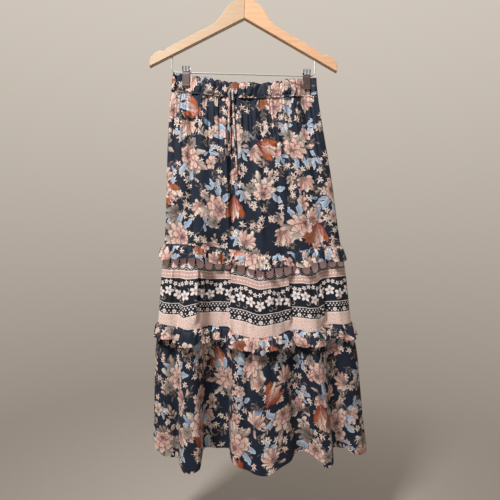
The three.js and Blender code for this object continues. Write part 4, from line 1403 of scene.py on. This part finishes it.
for name, tier in tiers.items():
    for side in facings:
        shares = np.linspace(0, 1, tier["rows"]) ** row_crowding
        across, share = np.meshgrid(columns_across(tier["columns"]), shares)
        outer, normal = tier_face(side, tier, across, share)
        outer[0, :, 2] -= seam_gap
        inner = outer - normal * tier_wall
        finishes = [floral_cloth, floral_reverse]
        drop = 0
        if name == "middle":
            finishes = [border_cloth, border_reverse]
            drop = band_drop(side, across, travelled(outer, 0))
        cut = (tier["cut"], tier["drift"][side], finishes, drop)
        panel = sew_panel(f"{name}_tier_cloth_{side}", outer, inner, side, *cut)
        if name == "bottom":
            sew_rows(f"hem_stitches_{side}", [outer[-hem_stitches_up, inside_side_seams]])
        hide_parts(f"{name}_tier_{side}")
        width = float(travelled(outer, 1)[-1, -1])
        length = float(travelled(outer, 0)[-1].mean())


# The two frills: strips of the printed cloth, about twice as long as the seam, gathered by a line
# of stitches over the seam, and falling over the tier below in folded waves.
frill_heading = 0.004
frill_flare = 0.0165
frill_clearance = 0.0006
frill_lift = 0.001
frill_wall = 0.0011
frill_turned_up = 0.011
frill_sway = 0.0042
frill_columns = 500
heading_rows = 4
falling_rows = 17
# Puffs is the number of waves round a frill and start shifts them. Lifted is where its edge is turned
# up, and tucked how far its two ends are held in.
frills = {
    "upper": {
        "above": "top",
        "below": "middle",
        "height": 0.0295,
        "puffs": 12.5,
        "start": 0.1,
        "cut": 0.68,
        "drift": (2.05, 0.81),
        "lifted": 0.18,
        "tucked": (0.25, 0.6),
    },
    "lower": {
        "above": "middle",
        "below": "bottom",
        "height": 0.026,
        "puffs": 16.5,
        "start": 0.6,
        "cut": 0.82,
        "drift": (3.1, 0.93),
        "lifted": 0.9,
        "tucked": (0.45, 0.45),
    },
}


def frill_faces(frill, side):
    """The outer and inner faces of a frill, in rows from its heading down to its lower edge."""
    falling = np.linspace(0.001, frill["height"], falling_rows)
    heights = np.concatenate((np.linspace(-frill_heading, 0, heading_rows), falling))
    across, height = np.meshgrid(columns_across(frill_columns), heights)
    upper, lower = tiers[frill["above"]], tiers[frill["below"]]
    over = tier_face(side, upper, across, np.minimum(1, 1 + height / tier_length(upper)))
    under = tier_face(side, lower, across, np.maximum(0, height / tier_length(lower)))
    base, normal = (np.where((height < 0)[..., None], *pair) for pair in zip(over, under))
    free = np.clip(height / frill["height"], 0, 1)
    ends = away_from_sides(across, 0.02)

    # The waves: uneven puffs with smaller ones between them, flatter near the side seams.
    turned = 0.7 if side == "back" else 0.0
    place = frill["puffs"] * across + 0.3 * np.sin(math.tau * 1.9 * across + 1 + turned)
    place = place + 0.14 * np.sin(math.tau * 4.7 * across + 2.2) + frill["start"] + turned
    puff = np.abs(np.sin(math.pi * place)) ** 0.5
    small = np.abs(np.sin(math.pi * (2 * place + 0.21))) ** 0.8
    swing = np.sin(math.tau * 5 * across + 1)
    flare = frill_flare * puff * (0.7 + 0.3 * small) * (0.84 + 0.16 * swing)
    left, right = frill["tucked"]
    tucked = 1 - left * (1 - ease(across, 0, 0.04)) - right * ease(across, 0.96, 1)
    gather = 0.5 + 0.5 * np.sin(math.tau * (3.6 * place + 0.1))
    near_stitches = 0.0016 * gather * np.exp(-(((height - 0.004) / 0.008) ** 2))
    stand = frill_clearance + free * frill_lift + tucked * flare * free**0.5 + near_stitches
    sway = -frill_sway * np.sin(math.tau * place) * free**0.5 * (0.8 + 0.3 * np.sin(across * 29))

    # One corner of the edge is turned up, and the rest is uneven.
    turned_up = frill_turned_up * np.exp(-(((across - frill["lifted"]) / 0.024) ** 2)) * free**1.5
    uneven = 0.003 * np.sin(2.1 * place + 1.3 * np.sin(place * 0.7))
    inner = base + normal * (stand + 0.35 * turned_up)[..., None]
    inner[..., 0] += sway * ends
    inner[..., 2] += turned_up
    inner[..., 2] -= (0.0075 * (puff - 0.62) + uneven) * free * free * ends

    out = -facings[side] * np.cross(np.gradient(inner, axis=0), np.gradient(inner, axis=1))
    out /= np.maximum(1e-12, np.linalg.norm(out, axis=-1))[..., None]
    out[:, 0] = (-1, 0, 0)
    out[:, -1] = (1, 0, 0)
    return inner + out * frill_wall, inner


for name, frill in frills.items():
    for side in facings:
        outer, inner = frill_faces(frill, side)
        cut = (frill["cut"], frill["drift"], [floral_cloth, floral_reverse])
        strip = sew_panel(f"{name}_frill_{side}", outer, inner, side, *cut)
        sew_rows(f"{name}_frill_stitches_{side}", [outer[heading_rows - 1, inside_side_seams]])
        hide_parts(f"{name}_ruffle_{side}")
        width = float(travelled(outer, 1)[-1, -1])


# The hanger's two wooden arms, of pale and of warmer wood, glued together in the middle under a
# clear varnish. The grain runs along each arm.
arm_slope = 28
grain_stretch = (5, 60, 60)


def refinish(node, finish):
    """Gives a part of the hanger its own material."""
    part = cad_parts[node].data
    part.materials.clear()
    part.materials.append(finish)


def wood(name, light, dark, node):
    made, shader, dye = new_finish(name)
    spot = dye.node("ShaderNodeTexCoord").outputs["Object"]
    slope = arm_slope if node.endswith("left") else -arm_slope
    grain_way = dye.node("ShaderNodeMapping", {0: spot})
    grain_way.inputs["Rotation"].default_value = (0, math.radians(slope), 0)
    grain_way.inputs["Scale"].default_value = grain_stretch
    grain = dye.node("ShaderNodeTexNoise", {"Vector": grain_way.outputs[0]})
    grain.inputs["Scale"].default_value = 3
    grain.inputs["Detail"].default_value = 6
    streaks = dye.spread(grain.outputs["Fac"], 0.35, 0.68)
    dye.join(shader.inputs["Base Color"], dye.blend(streaks, light, dark))
    dye.join(shader.inputs["Roughness"], dye.spread(grain.outputs["Fac"], 0.3, 0.7, 0.34, 0.46))
    shader.inputs["Coat Weight"].default_value = 0.15
    shader.inputs["Coat Roughness"].default_value = 0.25
    bump = dye.node("ShaderNodeBump", {"Height": grain.outputs["Fac"]})
    bump.inputs["Strength"].default_value = 0.15
    bump.inputs["Distance"].default_value = 0.0004
    dye.join(shader.inputs["Normal"], bump.outputs[0])
    refinish(node, made)


wood("pale_wood", (0.60, 0.415, 0.265, 1), (0.52, 0.34, 0.205, 1), "hanger_arm_left")
wood("warm_wood", (0.79, 0.475, 0.28, 1), (0.69, 0.385, 0.215, 1), "hanger_arm_right")

# The plated steel of the hook, the bar and the two clips. Each clip is two pressed plates on a spring:
# a ribbed tab to squeeze, painted with bright highlight columns and a lit top rim over painted shade,
# and below it a duller flat jaw with turned edges, its brownish tone a painted reflection of the room
# and its edges painted shade.
# Sizes and tones of the painted highlights and painted shade on the clips' tabs and jaws.
tab_height = 0.0125
lit_rim_height = 0.0022
shaded_middle_half_width = 0.0011
rib_highlight_reach = 0.0062
shaded_edge_from = 0.0073
wire_tones = ((0.46, 0.45, 0.44, 1), (0.58, 0.57, 0.56, 1))
# The jaws' two brownish tones are a painted reflection of the room in the plated steel, with the wear
# noise varying between them.
jaw_reflection_tones = ((0.075, 0.045, 0.042, 1), (0.125, 0.08, 0.075, 1))
rib_highlight_tone = (0.8, 0.79, 0.79, 1)
painted_shade_tone = (0.05, 0.045, 0.045, 1)


def steel(name, plating, roughness, worn, bright):
    made, shader, dye = new_finish(name)
    spot = dye.node("ShaderNodeTexCoord").outputs["Object"]
    wear = dye.node("ShaderNodeTexNoise", {"Vector": spot})
    wear.inputs["Scale"].default_value = 160
    wear.inputs["Detail"].default_value = 4
    shader.inputs["Metallic"].default_value = plating
    look = dye.blend(wear.outputs["Fac"], worn, bright)
    dye.join(shader.inputs["Base Color"], look)
    dye.join(shader.inputs["Roughness"], dye.spread(wear.outputs["Fac"], 0.3, 0.7, *roughness))
    return made, shader, dye, spot, look


wire_steel = steel("wire_steel", 0.25, (0.48, 0.58), *wire_tones)[0]
for node in ("hook", "bar", "clip_left_spring", "clip_right_spring"):
    refinish(node, wire_steel)

for name in ("left", "right"):
    for side in ("front", "back"):
        node = f"clip_{name}_{side}_jaw"
        lowest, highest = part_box(node)
        # The jaw's brownish tones are a painted reflection of the room in the plate.
        made, shader, dye, spot, look = steel(f"{node}_steel", 0.4, (0.46, 0.56), *jaw_reflection_tones)
        x, y, z = dye.parts(spot)
        middle = float(lowest[0] + highest[0]) / 2
        off = dye.sum("ABSOLUTE", dye.sum("SUBTRACT", x, middle))
        # Painted highlights: two bright columns either side of the tab's middle and a lit band along
        # its top rim. The rest of the tab is painted shade: a dark middle line and dark outer sides.
        rib_highlights = between(dye, off, shaded_middle_half_width, rib_highlight_reach)
        rim = dye.sum("GREATER_THAN", z, float(highest[2]) - lit_rim_height)
        tab = dye.blend(dye.sum("MAXIMUM", rib_highlights, rim), painted_shade_tone, rib_highlight_tone)
        above = dye.sum("GREATER_THAN", z, float(highest[2]) - tab_height)
        # Painted shade along the jaw's turned edges, dark beyond a set distance from its middle.
        edge = dye.sum("GREATER_THAN", off, shaded_edge_from)
        look = dye.blend(above, dye.blend(edge, look, painted_shade_tone), tab)
        dye.join(shader.inputs["Base Color"], look)
        refinish(node, made)
